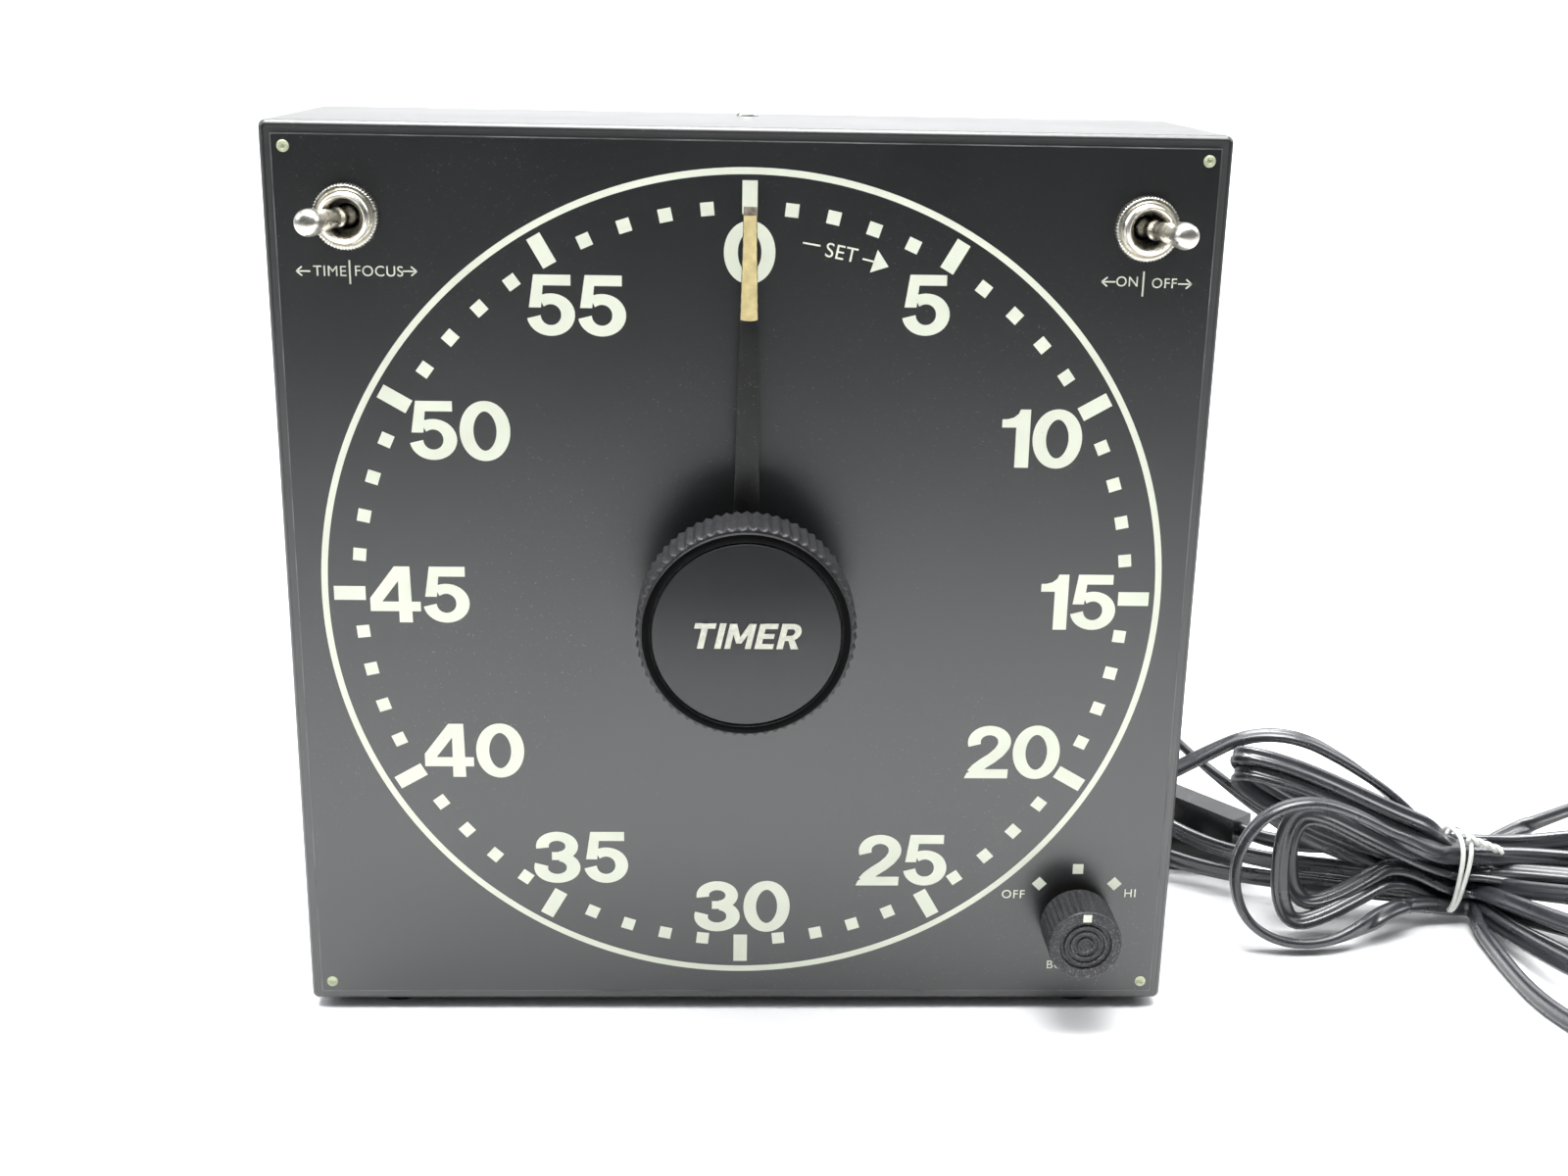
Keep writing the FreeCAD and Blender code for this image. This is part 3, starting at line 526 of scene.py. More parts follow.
def make_dial_print():
    printed("dial_ring", flat_ring(RING_OUT, RING_IN, 240, *PRINT))
    printed("dial_minute_marks", dial_marks())
    printed("dial_numerals", numerals())
    for label in LABELS:
        lettering(*label)
    parts = []
    for arrow in ARROWS:
        parts += level_arrow(*arrow)
    parts += [bar(*ends, 0.42) for ends in BARS]
    parts.append(extrude_outline(SET_ARROW, *PRINT))
    parts += [extrude_outline(turned_box(x, z, 2.8, 2.8, turn), *PRINT) for x, z, turn in VOLUME_MARKS]
    printed("dial_arrows_and_marks", join(parts))
    piece("dial_plate_bright_edge", *plate_edge(), "dial_paint", angle=20, finish="edge")


def plate_edge():
    """Bare metal showing as a thin bright line along the edge of the dial plate."""
    half, width, out = 111.3, 0.22, 0.03
    parts = []
    for k in range(4):
        a = math.radians(90 * k)
        c, s = math.cos(a), math.sin(a)
        run = [(-half, half - width), (half, half - width), (half, half + out), (-half, half + out)]
        outline = [(x * c - z * s, x * s + z * c) for x, z in run]
        parts.append(extrude_outline(outline, -0.02 - LIFT * (k % 2), 0.5))
    return join(parts)


# ---------------- knobs, hands, switches

def box_outline(x0, z0, x1, z1):
    return [(x0, z0), (x1, z0), (x1, z1), (x0, z1)]


def letter_strokes(word):
    """Plain capitals one unit high, as (strokes, width) in order."""
    stem, level = 0.24, 0.2
    upright = box_outline(0, 0, stem, 1)
    top = box_outline(0, 0.8, 0.7, 1)
    shapes = {
        "T": ([box_outline(0, 0.8, 0.8, 1), box_outline(0.28, 0, 0.52, 1)], 0.8),
        "I": ([upright], 0.24),
        "M": ([box_outline(0, 0, 0.22, 1), box_outline(0.78, 0, 1.0, 1),
               [(0.0, 1.0), (0.26, 1.0), (0.60, 0.22), (0.40, 0.22)],
               [(1.0, 1.0), (0.74, 1.0), (0.40, 0.22), (0.60, 0.22)]], 1.0),
        "E": ([upright, box_outline(0, 0, 0.7, level), box_outline(0, 0.41, 0.64, 0.60), top], 0.7),
        "R": ([upright, [(0.32, 0.45), (0.55, 0.45), (0.82, 0), (0.54, 0)]], 0.8),
    }
    rows = []
    for letter in word:
        outlines, wide = shapes[letter]
        strokes = [flat_stroke(points) for points in outlines]
        if letter == "R":
            bowl = [(0.1, 0.9), (0.42, 0.9)] + arc(0.42, 0.665, 0.25, 0.235, 80, -80, 12)
            strokes.append(curve_stroke(bowl + [(0.42, 0.43), (0.1, 0.43)], stem, level))
        rows.append((strokes, wide))
    return rows


def knob_word(word, height, slant, gap, d0, d1):
    """The word across the knob's face, centred, with its letters leaning by slant."""
    rows = letter_strokes(word)
    total = sum(wide for _, wide in rows) + gap * (len(rows) - 1)
    left = -total / 2
    parts = []
    for strokes, wide in rows:
        parts += place_strokes(strokes, left * height, 0, height, slant, d0, d1)
        left += wide + gap
    return join(parts)


def make_main_knob():
    rim, face, rear = 26.3, -31.4, -15.0
    groove = 0.7
    profile = [(0, face + 1.0), (rim - 3.75, face + 1.0), (rim - 3.7, face + 0.9), (rim - 3.6, face + 0.2),
               (rim - 3.45, face), (rim - 1.95, face), (rim - 1.7, face + 0.15), (rim - 1.6, face + 0.5),
               (rim - 1.55, face + 1.5), (rim - 1.2, face + 1.55), (rim - 0.9, face + 1.6, groove * 0.3),
               (rim - 0.25, face + 2.0, groove * 0.9), (rim, face + 3.0, groove), (rim, face + 9, groove),
               (rim, rear - 1.0, groove), (rim - 0.5, rear - 0.3, groove * 0.5), (rim - 1.2, rear),
               (23.0, rear), (23.0, rear - 10), (10.0, rear - 10), (10.0, -10.2), (9.3, -9.5), (0, -9.5)]
    verts, faces = lathe(profile, KNOB_RIDGES * 10, flutes=KNOB_RIDGES)
    piece("set_knob", verts, faces, "knob", "seconds_train", ["main_knob"], angle=38)
    # Painted shade: the front rim ring is near-black with almost no specular, standing in for the shade and
    # dark reflections on the glossy rim.
    gloss = [(rim - 3.55, face + 0.1), (rim - 3.4, face - 0.03), (rim - 1.98, face - 0.03),
             (rim - 1.68, face + 0.12), (rim - 1.66, face + 0.6), (rim - 3.55, face + 0.6),
             (rim - 3.55, face + 0.1)]
    piece("set_knob_painted_shade_ring", *lathe(gloss, 200), "knob", "seconds_train", angle=50, finish="knob_ring")
    disc = [(0, face - 0.02), (rim - 4.35, face - 0.02), (rim - 4.05, face + 0.12), (rim - 3.9, face + 0.4),
            (rim - 3.9, face + 1.2), (0, face + 1.2)]
    piece("set_knob_cap", *lathe(disc, 160), "knob", "seconds_train", ["knob_cap"], angle=40,
          finish="knob_face")
    word = knob_word("TIMER", 6.2, 0.22, 0.14, face - 0.38, face + 0.05)
    piece("set_knob_word", *word, "emblem", "seconds_train", ["knob_emblem"], angle=30, finish="emblem")


HAND_LENGTH, HAND_ROOT, HAND_TIP = 96.9, 3.65, 1.55
HAND_FRONT, HAND_BACK = -9.2, -8.4
PAINT_START, PAINT_END = 70.9, 95.0
PAINT_ROWS = 22
PAINT_ACROSS = (-1, -0.6, 0, 0.6, 1)


def half_width(z):
    """Half the long hand's width at a height above its axis."""
    return HAND_ROOT + (HAND_TIP - HAND_ROOT) * z / HAND_LENGTH


def luminous_paint():
    """Uneven crowned stripe of paint along the outer part of the long hand."""
    rows, wide = PAINT_ROWS, len(PAINT_ACROSS)
    verts = []
    for i in range(rows + 1):
        z = PAINT_START + (PAINT_END - PAINT_START) * i / rows
        wobble = 0.10 * math.sin(2.7 * i) + 0.06 * math.sin(6.1 * i + 1)
        w = half_width(z) - 0.12 + wobble * 0.5
        for u in PAINT_ACROSS:
            crown = 0.22 * (1 - u * u) + 0.02 * math.sin(5 * i + 3 * u)
            start = 0.3 * (1 - u * u) if i == 0 else 0
            verts.append((u * w, FACE_Y + HAND_FRONT - 0.02 - crown, CZ + z - start))
    faces = [[r * wide + c, r * wide + c + 1, (r + 1) * wide + c + 1, (r + 1) * wide + c]
             for r in range(rows) for c in range(wide - 1)]
    base = len(verts)
    verts += [(x, FACE_Y + HAND_FRONT + 0.1, z) for x, _, z in verts]
    faces += [[base + i for i in reversed(face)] for face in faces]
    loop = list(range(wide)) + [r * wide + wide - 1 for r in range(1, rows + 1)]
    loop += [rows * wide + c for c in range(wide - 2, -1, -1)]
    loop += [r * wide for r in range(rows - 1, 0, -1)]
    faces += [[a, b, base + b, base + a] for a, b in zip(loop, loop[1:] + loop[:1])]
    return verts, faces


def make_hands():
    """Long black hand with aged luminous paint, and the short hand that it hides."""
    root, tip = half_width(0), half_width(HAND_LENGTH)
    outline = [(-root, 0), (-tip, HAND_LENGTH), (tip, HAND_LENGTH), (root, 0)]
    blade = extrude_outline(outline, HAND_FRONT, HAND_BACK)
    collet = extrude_outline(circle(8.0), HAND_FRONT - 0.25, HAND_BACK + 0.25)
    piece("long_hand", *join([blade, collet]), "hand", "seconds_train", ["seconds_hand"], bevel=0.12,
          angle=40)
    piece("long_hand_luminous_paint", *luminous_paint(), "hand", "seconds_train", angle=50, finish="lume")
    low, high = half_width(94.8) + 0.02, half_width(97.0) + 0.02
    bare = [(-low, 94.8), (-high, 97.0), (high, 97.0), (low, 94.8)]
    bare_tip = extrude_outline(bare, HAND_FRONT - 0.03, HAND_BACK + 0.03)
    piece("long_hand_bare_tip", *bare_tip, "hand", "seconds_train", finish="tip")
    short = extrude_outline([(-2.6, 0), (-1.3, 68), (1.3, 68), (2.6, 0)], -5.6, -4.9)
    collar = extrude_outline(circle(7.5), -5.8, -4.7)
    piece("short_hand", *join([short, collar]), "hand", "minute_train", ["minute_hand"], bevel=0.1, angle=40)
    stripe = [(-1.55, 50), (-1.2, 66.5), (1.2, 66.5), (1.55, 50)]
    piece("short_hand_luminous_paint", *extrude_outline(stripe, -5.72, -5.5), "hand", "minute_train",
          finish="lume", bevel=0.06)


VOLUME_X, VOLUME_Z, VOLUME_R, VOLUME_FACE = 89.2, -89.1, 9.7, -16.5
VOLUME_RIDGES = 36


def make_volume_knob():
    r, face = VOLUME_R, VOLUME_FACE
    low, ridge = face + 0.6, face + 0.05
    profile = [(0, low - 0.2), (1.5, low - 0.2), (1.7, ridge), (2.1, ridge), (2.3, low), (3.1, low),
               (3.3, ridge), (3.9, ridge), (4.1, low), (4.8, low), (5.0, face + 0.03), (5.5, face + 0.03),
               (5.75, low + 0.15), (6.5, low + 0.15), (6.8, face), (r - 0.75, face), (r - 0.35, face + 0.15),
               (r - 0.12, face + 0.5), (r - 0.05, face + 1.0, 0.35), (r, face + 1.5, 0.5), (r, -5.4, 0.6),
               (r, -4.2, 0.3), (r - 0.1, -3.3), (r - 0.4, -3.0), (3.0, -3.0), (3.0, -4.0), (0, -4.0)]
    verts, faces = lathe(profile, VOLUME_RIDGES * 10, VOLUME_X, VOLUME_Z, flutes=VOLUME_RIDGES)
    piece("buzzer_knob", verts, faces, "knob", "volume", ["volume_knob"], angle=36)
    outline = box_outline(VOLUME_X - 1.2, VOLUME_Z + 6.85, VOLUME_X + 1.0, VOLUME_Z + 8.95)
    mark = extrude_outline(outline, face - 0.04, face + 0.2)
    piece("buzzer_knob_mark", *mark, "knob", "volume", finish="print")


TOGGLE_X, TOGGLE_Z, TOGGLE_PIVOT, TOGGLE_TILT = 94.6, 92.5, 2.0, 17.7
NUT_R, NUT_BORE, NUT_RIDGES = 7.8, 5.97, 60
BARREL_R, BARREL_END, THREAD_PITCH, THREAD_TURNS = 5.95, -5.5, 0.6, 4

# Bat handle: radius and distance out from the pivot, from its tail to its rounded end
LEVER = [(0, 5.2), (1.2, 5.2), (1.45, 4.9), (1.5, 1.7), (2.2, 0.9), (2.45, 0), (2.2, -0.9), (1.65, -1.8),
         (1.66, -3.4), (2.1, -4.0), (2.45, -4.7), (2.5, -5.3), (2.3, -5.9), (2.06, -6.4), (2.08, -7.5),
         (2.25, -9.5), (2.45, -11.5), (2.68, -13.5), (2.9, -15.2), (3.06, -16.6), (3.15, -17.8),
         (3.14, -18.5), (3.0, -19.3), (2.72, -20.0), (2.2, -20.65), (1.5, -21.0), (0.75, -21.16), (0, -21.2)]


def make_toggle(name, body, side):
    """One toggle switch: side -1 is the left one and +1 the right one."""
    x, z = side * TOGGLE_X, TOGGLE_Z
    verts, faces = lathe([(r, TOGGLE_PIVOT + d) for r, d in LEVER], 48, x, z)
    centre = Vector((x, FACE_Y + TOGGLE_PIVOT, CZ + z))
    turn = Matrix.Rotation(math.radians(side * TOGGLE_TILT), 3, "Z")
    verts = [tuple(centre + turn @ (Vector(v) - centre)) for v in verts]
    piece(name + "_bat", verts, faces, "chrome", body, [name + "_lever"], angle=60)
    r, bore = NUT_R, NUT_BORE
    nut = [(bore, 0), (r - 0.5, 0), (r, -0.35, 0.3), (r, -1.75, 0.3), (r - 0.25, -2.2, 0.15),
           (r - 0.5, -2.35), (bore + 0.75, -2.4), (bore + 0.4, -2.05), (bore, -1.95), (bore, 0)]
    verts, faces = lathe(nut, NUT_RIDGES * 6, x, z, flutes=NUT_RIDGES)
    piece(name + "_ring_nut", verts, faces, "chrome", "root", [name + "_nut"], angle=36, finish="nickel")
    out, end = BARREL_R, BARREL_END
    barrel = [(3.0, 3.6), (out + 1.5, 3.6), (out + 1.5, 2.0), (out, 2.0)]
    for k in range(THREAD_TURNS):
        d = -2.3 - THREAD_PITCH * k
        barrel += [(out, d), (out - 0.25, d - THREAD_PITCH / 2)]
    barrel += [(out - 0.05, end + 0.75), (out - 0.15, end + 0.4), (out - 0.6, end + 0.05), (5.2, end),
               (5.05, end + 0.1), (4.75, end + 0.5), (4.1, end + 2.2), (3.05, 0.4), (3.0, 3.6)]
    piece(name + "_threaded_barrel", *lathe(barrel, 96, x, z), "chrome", "root", [name + "_bushing"],
          angle=28)


HALF_CASE, SCREW_DEPTH = 114.3, 57.0
SCREW_SIDES = [(0, 1), (0, -1), (1, 0), (-1, 0)]
# Domed head as radius and height; the two points of the recess are lower on the arms of its cross
SCREW_HEAD = [(0, 0.55), (0.5, 0.6), (0.95, 1.02), (1.6, 1.1), (2.3, 0.98), (2.8, 0.62), (3.0, 0.15),
              (3.0, 0.0), (0, 0.0)]
RECESS_POINTS = (0.95, 1.6)
RECESS_DEPTH = 0.35


def screw_head(out_x, out_z, count=40):
    """Cover screw's head at the middle of the side that faces (out_x, out_z)."""
    verts = []
    for r, h in SCREW_HEAD:
        for i in range(count):
            a = 2 * math.pi * i / count
            recessed = r in RECESS_POINTS and abs(math.sin(2 * a)) < 0.3
            out = HALF_CASE + h - (RECESS_DEPTH if recessed else 0.0)
            u, v = r * math.cos(a), r * math.sin(a)
            verts.append((out_x * out + out_z * u, FACE_Y + SCREW_DEPTH + v, CZ + out_z * out + out_x * u))
    return verts, tube_faces(len(SCREW_HEAD), count)


def make_screws():
    """Pan-head cover screws with a cross recess: a domed head on each side of the case."""
    heads = join([screw_head(*side) for side in SCREW_SIDES])
    piece("cover_screw_heads", *heads, "zinc", "root", ["cover_screws"], angle=40)


RIVET_AT = 108.4
RIVET = [(0, -0.12), (0.42, -0.12), (0.55, -0.34), (0.85, -0.48), (1.15, -0.42), (1.4, -0.2), (1.45, 0.0),
         (0, 0.0)]


def make_rivets():
    parts = [lathe(RIVET, 40, sx * RIVET_AT, sz * RIVET_AT) for sx in (-1, 1) for sz in (-1, 1)]
    piece("dial_rivet_heads", *join(parts), "rivet", "root", ["dial_rivets"], angle=50)


# ---------------- cords

CORD_W, CORD_T = 5.4, 2.75


def spline_points(points, step=1.6):
    """Even points along the smooth NURBS line that has the given route points as its controls."""
    curve = bpy.data.curves.new("route", "CURVE")
    curve.dimensions = "3D"
    curve.resolution_u = 16
    spline = curve.splines.new("NURBS")
    spline.points.add(len(points) - 1)
    for target, p in zip(spline.points, points):
        target.co = (p[0] * MM, p[1] * MM, p[2] * MM, 1.0)
    spline.order_u = 3
    spline.use_endpoint_u = True
    obj = add_object("route", curve)
    mesh = evaluated_mesh(obj)
    line = np.array([v.co for v in mesh.vertices]) / MM
    bpy.data.objects.remove(obj)
    gaps = np.linalg.norm(np.diff(line, axis=0), axis=1)
    line = line[np.concatenate([[True], gaps > 1e-6])]
    travelled = np.concatenate([[0], np.cumsum(np.linalg.norm(np.diff(line, axis=0), axis=1))])
    count = int(travelled[-1] / step)
    places = np.linspace(0, travelled[-1], count + 1)
    return np.stack([np.interp(places, travelled, line[:, k]) for k in range(3)], axis=1)


def flat_frames(line, hints):
    """Thin direction of a flat cord along its line: it bends about its wide axis, and turns over slowly."""
    n = len(line)
    tangent = np.gradient(line, axis=0)
    tangent /= np.linalg.norm(tangent, axis=1)[:, None]
    base = np.zeros((n, 3))
    seed = np.cross(tangent[0], (0.3, 0.2, 0.93))
    base[0] = seed / np.linalg.norm(seed)
    for i in range(1, n):
        v = base[i - 1] - tangent[i] * base[i - 1].dot(tangent[i])
        base[i] = v / np.linalg.norm(v)
    side = np.cross(tangent, base)
    bend = np.gradient(tangent, axis=0)
    want = np.zeros((n, 2))
    for i in range(n):
        a, b = bend[i].dot(base[i]), bend[i].dot(side[i])
        size = math.hypot(a, b)
        if size > 1e-9:
            angle = 2 * math.atan2(b, a)
            want[i] += min(size * 6, 1.0) * np.array((math.cos(angle), math.sin(angle)))
    weight = np.linalg.norm(want, axis=1)
    for place, direction, strength in hints:
        nearest = int(np.argmin(np.linalg.norm(line - np.array(place), axis=1)))
        d = np.array(direction, float)
        for i in range(max(0, nearest - 5), min(n, nearest + 6)):
            a, b = d.dot(base[i]), d.dot(side[i])
            angle = 2 * math.atan2(b, a)
            want[i] = strength * np.array((math.cos(angle), math.sin(angle)))
            weight[i] = strength
    pull = 0.06
    smooth = want.copy()
    for _ in range(500):
        spread = smooth.copy()
        spread[1:-1] = (smooth[:-2] + smooth[2:]) / 2
        smooth = (spread + want * pull) / (1 + (weight * pull)[:, None])
    angle = np.unwrap(np.arctan2(smooth[:, 1], smooth[:, 0])) / 2
    thin = base * np.cos(angle)[:, None] + side * np.sin(angle)[:, None]
    return tangent, thin


def flat_section():
    """Two round cores side by side with a web between them, as (across, thin) points."""
    r = CORD_T / 2
    offset = CORD_W / 2 - r
    right = [(offset + r * math.cos(a), r * math.sin(a)) for a in
             [math.radians(-128 + 256 * i / 12) for i in range(13)]]
    left = [(-x, -y) for x, y in right]
    return right + left


def sweep_flat(line, thin, tangent):
    section = flat_section()
    wide = np.cross(tangent, thin)
    n, m = len(line), len(section)
    verts = [tuple(line[i] + wide[i] * across + thin[i] * up) for i in range(n) for across, up in section]
    caps = [list(range(m)), [(n - 1) * m + k for k in reversed(range(m))]]
    return verts, tube_faces(n, m) + caps


# Route points repeat those of the CAD model where the cord isn't in the hank
EXIT_Y, EXIT_Z = 72.9, 30.0
LINE_LEAD = [(30, EXIT_Y, EXIT_Z), (30, 93, 30), (36, 113, 28), (51, 126, 24), (72, 129, 21), (93, 121, 19),
             (112, 106, 17.5), (122, 87.5, 17), (133, 70.5, 15.5), (144, 58.5, 13.5), (157, 50, 12.6),
             (171, 45.5, 12.5), (184, 43, 12.5)]
LOAD_LEAD = [(-6, EXIT_Y, EXIT_Z), (-6, 91, 30), (1, 110, 25), (20, 122, 17), (42, 126, 10), (65, 124, 6),
             (88, 114, 5), (105, 97, 7), (118, 78, 8), (131, 62, 8), (147, 53, 6.5), (164, 47, 6.5),
             (180, 41, 7)]
LINE_LOOP = [(207, 38, 25), (196, 40, 37), (181, 41, 47.5), (166, 42, 55.5), (152, 46, 54.5), (141, 51, 46),
             (131, 57.5, 36.5), (119, 62, 29), (105, 65, 26), (91, 68, 28), (82, 72, 37), (81, 75.5, 50),
             (88.5, 78.5, 60.5), (103, 79, 65), (116, 75.5, 60.5), (127, 70, 52), (137.5, 63, 43),
             (149, 55, 35), (160, 48, 28), (171, 42, 23)]
CONNECTOR_END = (157.0, 59.9, 17.0)
PLUG_END = (158.4, 66.7, 6.0)
LOAD_TAIL = [CONNECTOR_END, (163, 52.1, 17), (172, 46.5, 18.6), (181, 42.5, 20)]
LINE_TAIL = [PLUG_END, (168, 60.3, 6), (178, 54, 6), (187, 47, 8), (196, 42, 11)]

# Left folds of the hank, each from its front or upper leg round to its other leg
FOLD_C1 = [(205, 32, 31), (194, 32, 35.5), (182, 32.5, 41), (170, 33, 46.5), (158, 34.5, 50.5),
           (149, 36.5, 52), (146.5, 41, 50), (150, 45, 45), (160, 45.5, 38), (174, 43.5, 31), (190, 41, 24)]
FOLD_C2 = [(205, 31, 26), (194, 31, 30.5), (182, 31.5, 36), (170, 32, 41.5), (158, 33.5, 45.5),
           (149.5, 35.5, 47), (147, 40, 44.5), (150.5, 44.5, 39), (160, 45, 32.5), (174, 43, 26),
           (190, 41, 20)]
FOLD_E1 = [(204, 30, 20), (193, 30, 25), (182, 29.5, 30.5), (171, 28.5, 36.5), (163, 27, 38.5),
           (159, 25.5, 33), (158, 24, 23), (158.5, 22.5, 12), (162.5, 21.5, 4.5), (171, 22, 6.5),
           (183, 24.5, 12), (194, 27.5, 17)]
FOLD_E2 = [(204, 34, 17), (193, 34, 22), (182, 33.5, 28), (173, 32.5, 33), (166, 31.5, 34.5),
           (162.5, 30.5, 29), (162, 29, 20), (163.5, 27.5, 12.5), (168.5, 26.5, 8.5), (176, 26, 11),
           (185, 27, 16), (194, 29, 21)]
FOLD_D = [(203, 26, 25), (191, 24, 32), (178, 22.5, 39.5), (165, 21.5, 44), (152, 20.5, 41), (144, 19, 31),
          (142.5, 17, 20), (146, 14.5, 9.5), (155, 12.5, 3.5), (168, 12, 2.5), (181, 15, 6.5), (192, 21, 10),
          (202, 28, 8)]
TIE_X = 214.0
TOWARD_CAMERA = (-0.15, -0.7, 0.7)
TOWARD_LIGHT = (-0.15, -0.45, 0.88)
BEYOND_TIE = ((0, 0), (7, 0), (14, 3), (22, 8), (30, 13), (38, 18))


def waist(row, column):
    """Where a strand passes through the tie: rows up from the floor, columns from back to front."""
    return (TIE_X, 40.8 - 3.1 * column, 5.0 + 5.55 * row)


def right_fold(start, end, azimuth, reach, gap, height):
    """Fold beyond the tie: out from one strand's place and back to another's; azimuth turns it to -Y."""
    a = math.radians(azimuth)
    ahead = Vector((math.cos(a), -math.sin(a), 0))
    across = Vector((math.sin(a), math.cos(a), 0))
    root = Vector((TIE_X + 3, 36, 0))
    plan = [(0.20, 0.30), (0.42, 0.68), (0.64, 0.98), (0.83, 1.0), (0.97, 0.72), (1.02, 0.0)]
    plan += [(s, -t) for s, t in plan[-2::-1]]
    points = [start, (start[0] + 7, start[1], start[2])]
    for i, (s, t) in enumerate(plan):
        share = (i + 1) / (len(plan) + 1)
        near = start if share < 0.5 else end
        level = min(1.0, s * 1.5)
        z = near[2] * (1 - level) + height * level
        p = root + ahead * (reach * s) + across * (gap * t)
        points.append((p.x, p.y, z))
    points += [(end[0] + 7, end[1], end[2]), end]
    return points


def line_route():
    w = waist
    route = LINE_LEAD + [(198, 38, 11.5), w(1, 2)]
    route += right_fold(w(1, 2), w(0, 2), 60, 76, 13, 9)[1:]
    route += FOLD_E1[::-1] + [w(2, 3)]
    route += right_fold(w(2, 3), w(1, 3), 52, 84, 14, 19)[1:]
    route += FOLD_E2[::-1] + [w(2, 0)]
    route += right_fold(w(2, 0), w(2, 1), 6, 76, 13, 20)[1:]
    route += FOLD_C1[::-1] + [w(3, 1)]
    route += right_fold(w(3, 1), w(2, 2), 22, 82, 13, 27)[1:]
    route += FOLD_C2[::-1] + [w(3, 2)]
    route += right_fold(w(3, 2), w(3, 0), -2, 74, 12, 33)[1:]
    route += LINE_LOOP + [(184, 40.5, 18), (199, 40, 12), w(1, 0)]
    route += right_fold(w(1, 0), w(0, 0), 26, 78, 14, 8)[1:]
    route += LINE_TAIL[::-1]
    return route


def load_route():
    w = waist
    route = LOAD_LEAD + [(198, 38.5, 6), w(0, 1)]
    route += right_fold(w(0, 1), w(0, 3), 74, 80, 14, 3.2)[1:]
    route += FOLD_D[::-1] + [w(3, 3)]
    route += right_fold(w(3, 3), w(1, 1), 38, 84, 13, 27)[1:]
    route += [(200, 38.5, 14)] + LOAD_TAIL[::-1]
    return route


def broadside(points, strength=0.8, direction=TOWARD_CAMERA):
    """Hints that lay the cord's flat side square to a direction at each of some route points."""
    return [(p, direction, strength) for p in points]


def line_hints():
    hints = []
    for fold in (FOLD_C1, FOLD_C2):
        hints += broadside(fold[:6]) + broadside(fold[8:])
    for fold in (FOLD_E1, FOLD_E2):
        hints += broadside(fold[:5], 0.5)
        hints += broadside(fold[5:8], 1.6, (0.1, -1, 0.1))
        hints += broadside(fold[9:], 2.4, TOWARD_LIGHT)
    for row, column in ((3, 1), (2, 2), (3, 2), (2, 3), (1, 3), (1, 2)):
        x, y, z = waist(row, column)
        run = [(x + dx, y - dy, z) for dx, dy in BEYOND_TIE]
        hints += broadside(run, 1.6, TOWARD_LIGHT)
    return hints


def make_cord(name, route, nodes, hints):
    line = spline_points(route)
    line[:, 2] = np.maximum(line[:, 2], CORD_T / 2 + 0.05)
    tangent, thin = flat_frames(line, hints)
    wide = np.cross(tangent, thin)
    lowest = line[:, 2] - np.sqrt((wide[:, 2] * CORD_W / 2) ** 2 + (thin[:, 2] * CORD_T / 2) ** 2)
    line[:, 2] += np.maximum(0.0, -lowest)
    verts, faces = sweep_flat(line, thin, tangent)
    obj = piece(name, verts, faces, "cord", "root", nodes, angle=55)


def superellipse(half_w, half_h, count=48):
    points = []
    for i in range(count):
        a = 2 * math.pi * i / count
        c, s = math.cos(a), math.sin(a)
        grow = (abs(c) ** 3 + abs(s) ** 3) ** (-1 / 3)
        points.append((half_w * grow * c, half_h * grow * s))
    return points


def round_wire(line, r, count=10, closed=False):
    """Round wire along points; its ends are capped unless it closes on itself."""
    line = np.array(line, float)
    n = len(line)
    if closed:
        tangent = np.roll(line, -1, axis=0) - np.roll(line, 1, axis=0)
    else:
        tangent = np.gradient(line, axis=0)
    tangent /= np.linalg.norm(tangent, axis=1)[:, None]
    side = np.cross(tangent[0], (0.31, 0.2, 0.93))
    verts = []
    for i in range(n):
        side = side - tangent[i] * side.dot(tangent[i])
        side /= np.linalg.norm(side)
        other = np.cross(tangent[i], side)
        for k in range(count):
            a = 2 * math.pi * k / count
            verts.append(tuple(line[i] + r * (math.cos(a) * side + math.sin(a) * other)))
    faces = tube_faces(n, count, closed)
    if not closed:
        faces += [list(range(count)), [(n - 1) * count + k for k in reversed(range(count))]]
    return verts, faces


def make_tie():
    """Two wraps of plastic-covered wire round the hank and a short twist of their ends."""
    half_w, half_h, y, z = 9.2, 12.2, 36.0, 15.5
    parts = []
    for x, lean in ((TIE_X - 0.85, 0.9), (TIE_X + 0.85, 1.9)):
        loop = [(x + lean * v / half_h, y - u, z + v) for u, v in superellipse(half_w, half_h)]
        parts.append(round_wire(loop, 0.72, closed=True))
    foot = Vector((TIE_X + 1.6, 30.5, 28.0))
    axis = Vector((0.92, -0.25, -0.28)).normalized()
    one = axis.cross(Vector((0, 0, 1))).normalized()
    two = axis.cross(one)
    for phase in (0, math.pi):
        line = []
        for i in range(34):
            s = i * 0.32
            a = phase + s * 1.25
            spread = 0.62 + 0.05 * max(0.0, s - 8)
            line.append(tuple(foot + axis * s + (one * math.cos(a) + two * math.sin(a)) * spread))
        parts.append(round_wire(line, 0.6))
    piece("tie_wraps", *join(parts), "tie", "root", ["twist_tie"], angle=60)


def make_cords():
    make_cord("line_cord", line_route(), ["line_cord_lead", "line_cord_loop", "line_cord_tail", "cord_hank"],
              line_hints())
    make_cord("load_cord", load_route(), ["load_cord_lead", "load_cord_tail"], [])


# ---------------- stage, light and camera

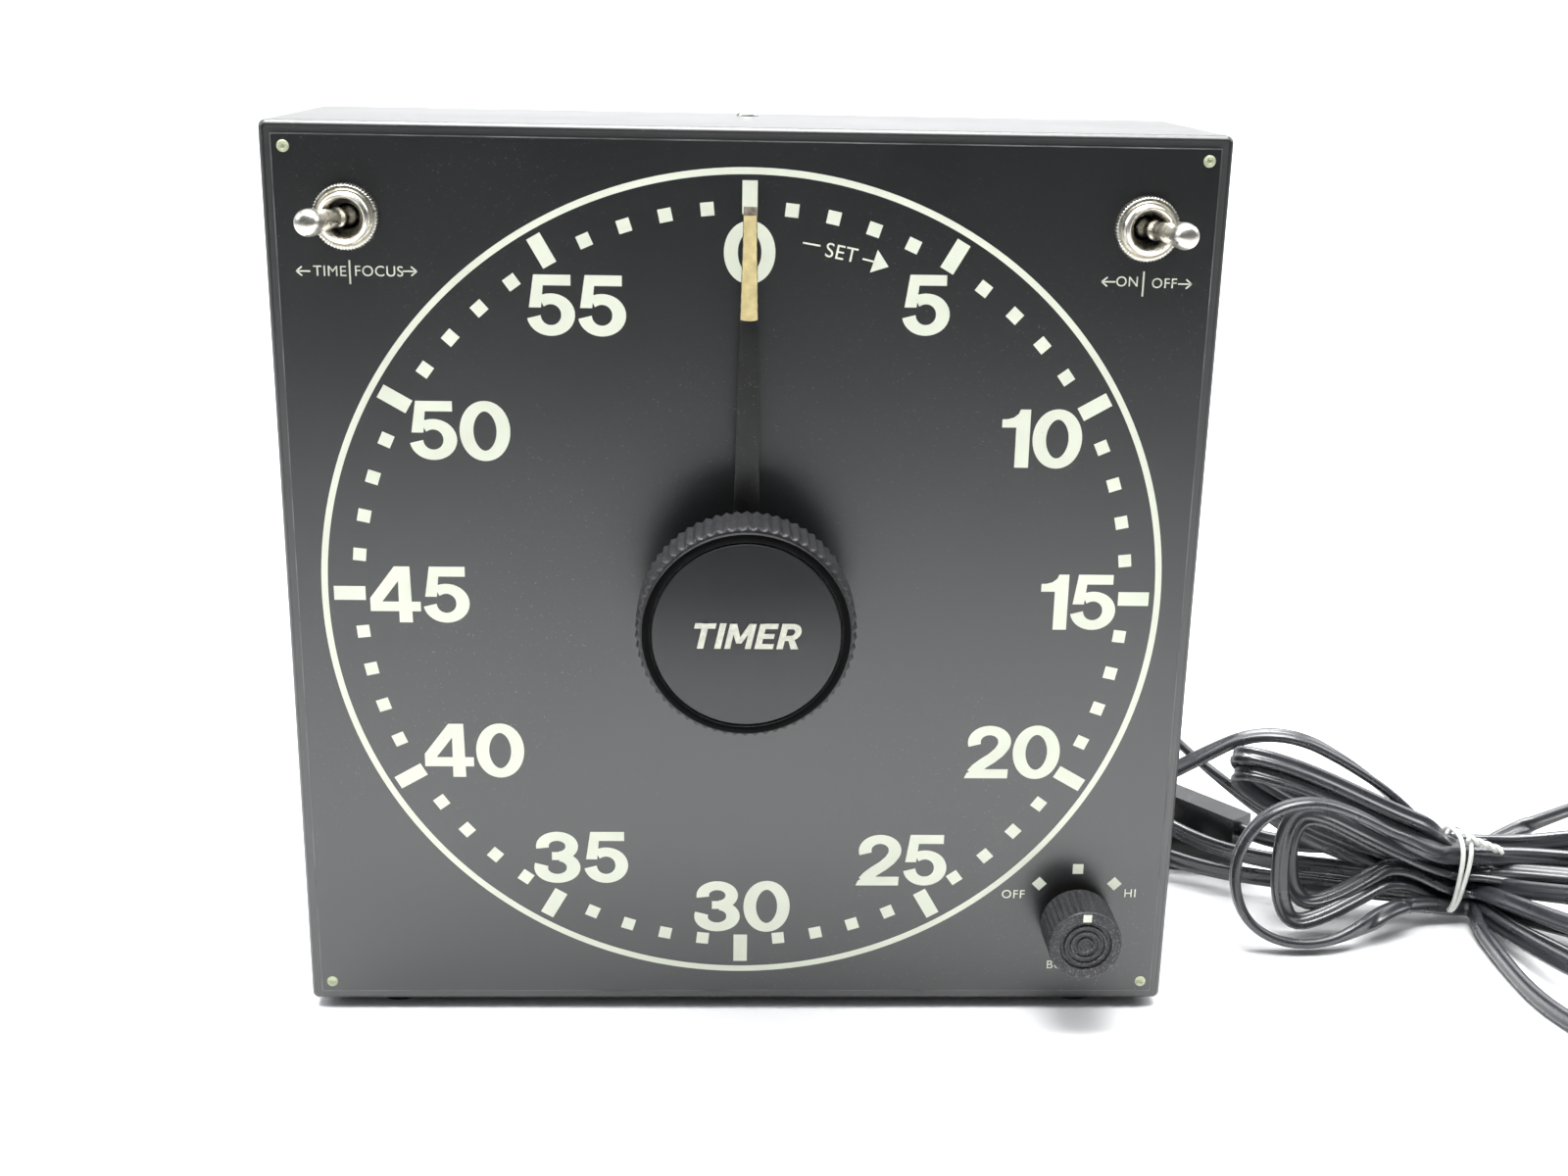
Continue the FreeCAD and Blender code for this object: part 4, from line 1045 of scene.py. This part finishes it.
def make_stage():
    """Plain pale table that turns up into a backdrop behind the timer."""
    front, back, bend, top, half_width_m = -0.75, 0.9, 0.5, 2.6, 2.2
    profile = [(front, 0.0), (back, 0.0)]
    for i in range(1, 11):
        a = math.radians(9 * i)
        profile.append((back + bend * math.sin(a), bend - bend * math.cos(a)))
    profile.append((back + bend, top))
    verts = [(x, y, z) for x in (-half_width_m, half_width_m) for y, z in profile]
    n = len(profile)
    faces = [[i, i + 1, n + i + 1, n + i] for i in range(n - 1)]
    mesh = bpy.data.meshes.new("stage")
    mesh.from_pydata(verts, [], faces)
    for face in mesh.polygons:
        face.use_smooth = True
    obj = add_object("stage", mesh)
    mesh.materials.append(surface("table_white", (0.86, 0.865, 0.87), 0.30, vary=0.003, patch=6, grain=300,
                                  rough_vary=0.01, bump=0.02))


def area_light(name, place, target, size, power, color=(1, 1, 1), spread=180):
    data = bpy.data.lights.new(name, "AREA")
    data.spread = math.radians(spread)
    data.shape = "RECTANGLE"
    data.size, data.size_y = size
    data.energy = power
    data.color = color
    obj = add_object(name, data)
    obj.location = place
    obj.rotation_euler = (Vector(target) - Vector(place)).to_track_quat("-Z", "Y").to_euler()


def make_world():
    """Grey studio surroundings, dark low down on the camera's side, which the dial's top mirrors."""
    world = bpy.data.worlds.new("studio")
    world.use_nodes = True
    tree = world.node_tree
    nodes, links = tree.nodes, tree.links
    direction = nodes.new("ShaderNodeTexCoord").outputs["Generated"]
    split = nodes.new("ShaderNodeSeparateXYZ")
    links.new(direction, split.inputs["Vector"])
    bright = nodes.new("ShaderNodeMath")
    bright.operation = "MAXIMUM"
    for i, (axis, low, high) in enumerate((("Y", -0.7, 0.2), ("Z", 0.0, 0.9))):
        reach = nodes.new("ShaderNodeMapRange")
        reach.inputs["From Min"].default_value = low
        reach.inputs["From Max"].default_value = high
        links.new(split.outputs[axis], reach.inputs["Value"])
        links.new(reach.outputs["Result"], bright.inputs[i])
    shade = ramp(tree, bright.outputs["Value"], 0.0, 1.0, (0.03, 0.034, 0.036), (0.46, 0.48, 0.50))
    links.new(shade, nodes["Background"].inputs["Color"])
    nodes["Background"].inputs["Strength"].default_value = 0.7
    bpy.context.scene.world = world


def make_light():
    make_world()
    area_light("softbox_over", (-0.15, 0.08, 1.5), (0.03, 0.03, 0.0), (1.3, 0.9), 9.8, spread=120)
    area_light("softbox_left", (-1.3, -0.1, 0.9), (0, 0, 0.1), (0.8, 0.8), 8, (0.95, 0.98, 1.0))
    area_light("softbox_right", (1.3, 0.3, 1.0), (0.1, 0, 0.1), (0.8, 0.8), 10)
    area_light("table_front", (0.0, -0.14, 0.8), (0.0, -0.10, 0.0), (0.95, 0.2), 2.9, spread=90)
    area_light("backdrop_wash", (0.0, 0.65, 1.9), (0.0, 1.3, 0.3), (2.0, 0.5), 60)


def make_camera():
    """Camera as fitted to the photo: a little left of the timer's middle and above it, looking down."""
    data = bpy.data.cameras.new("camera")
    data.lens = 42.12
    data.sensor_width = 36.0
    data.clip_start = 0.01
    obj = add_object("camera", data)
    right = Vector((0.9993, -0.0338, 0.0188))
    up = Vector((-0.008, 0.2947, 0.9556))
    turn = Matrix((right, up, right.cross(up))).transposed().to_4x4()
    place = Vector((-7.6, FACE_Y - 439.9, CZ + 137.7)) * MM
    obj.matrix_world = Matrix.Translation(place) @ turn
    bpy.context.scene.camera = obj


bpy.context.scene.view_settings.view_transform = "Standard"
paint_cad_nodes()
make_dial_print()
make_main_knob()
make_hands()
make_volume_knob()
make_toggle("focus_switch", "focus_lever", -1)
make_toggle("power_switch", "power_lever", 1)
make_screws()
make_rivets()
make_camera()
make_tie()
make_cords()
make_stage()
make_light()
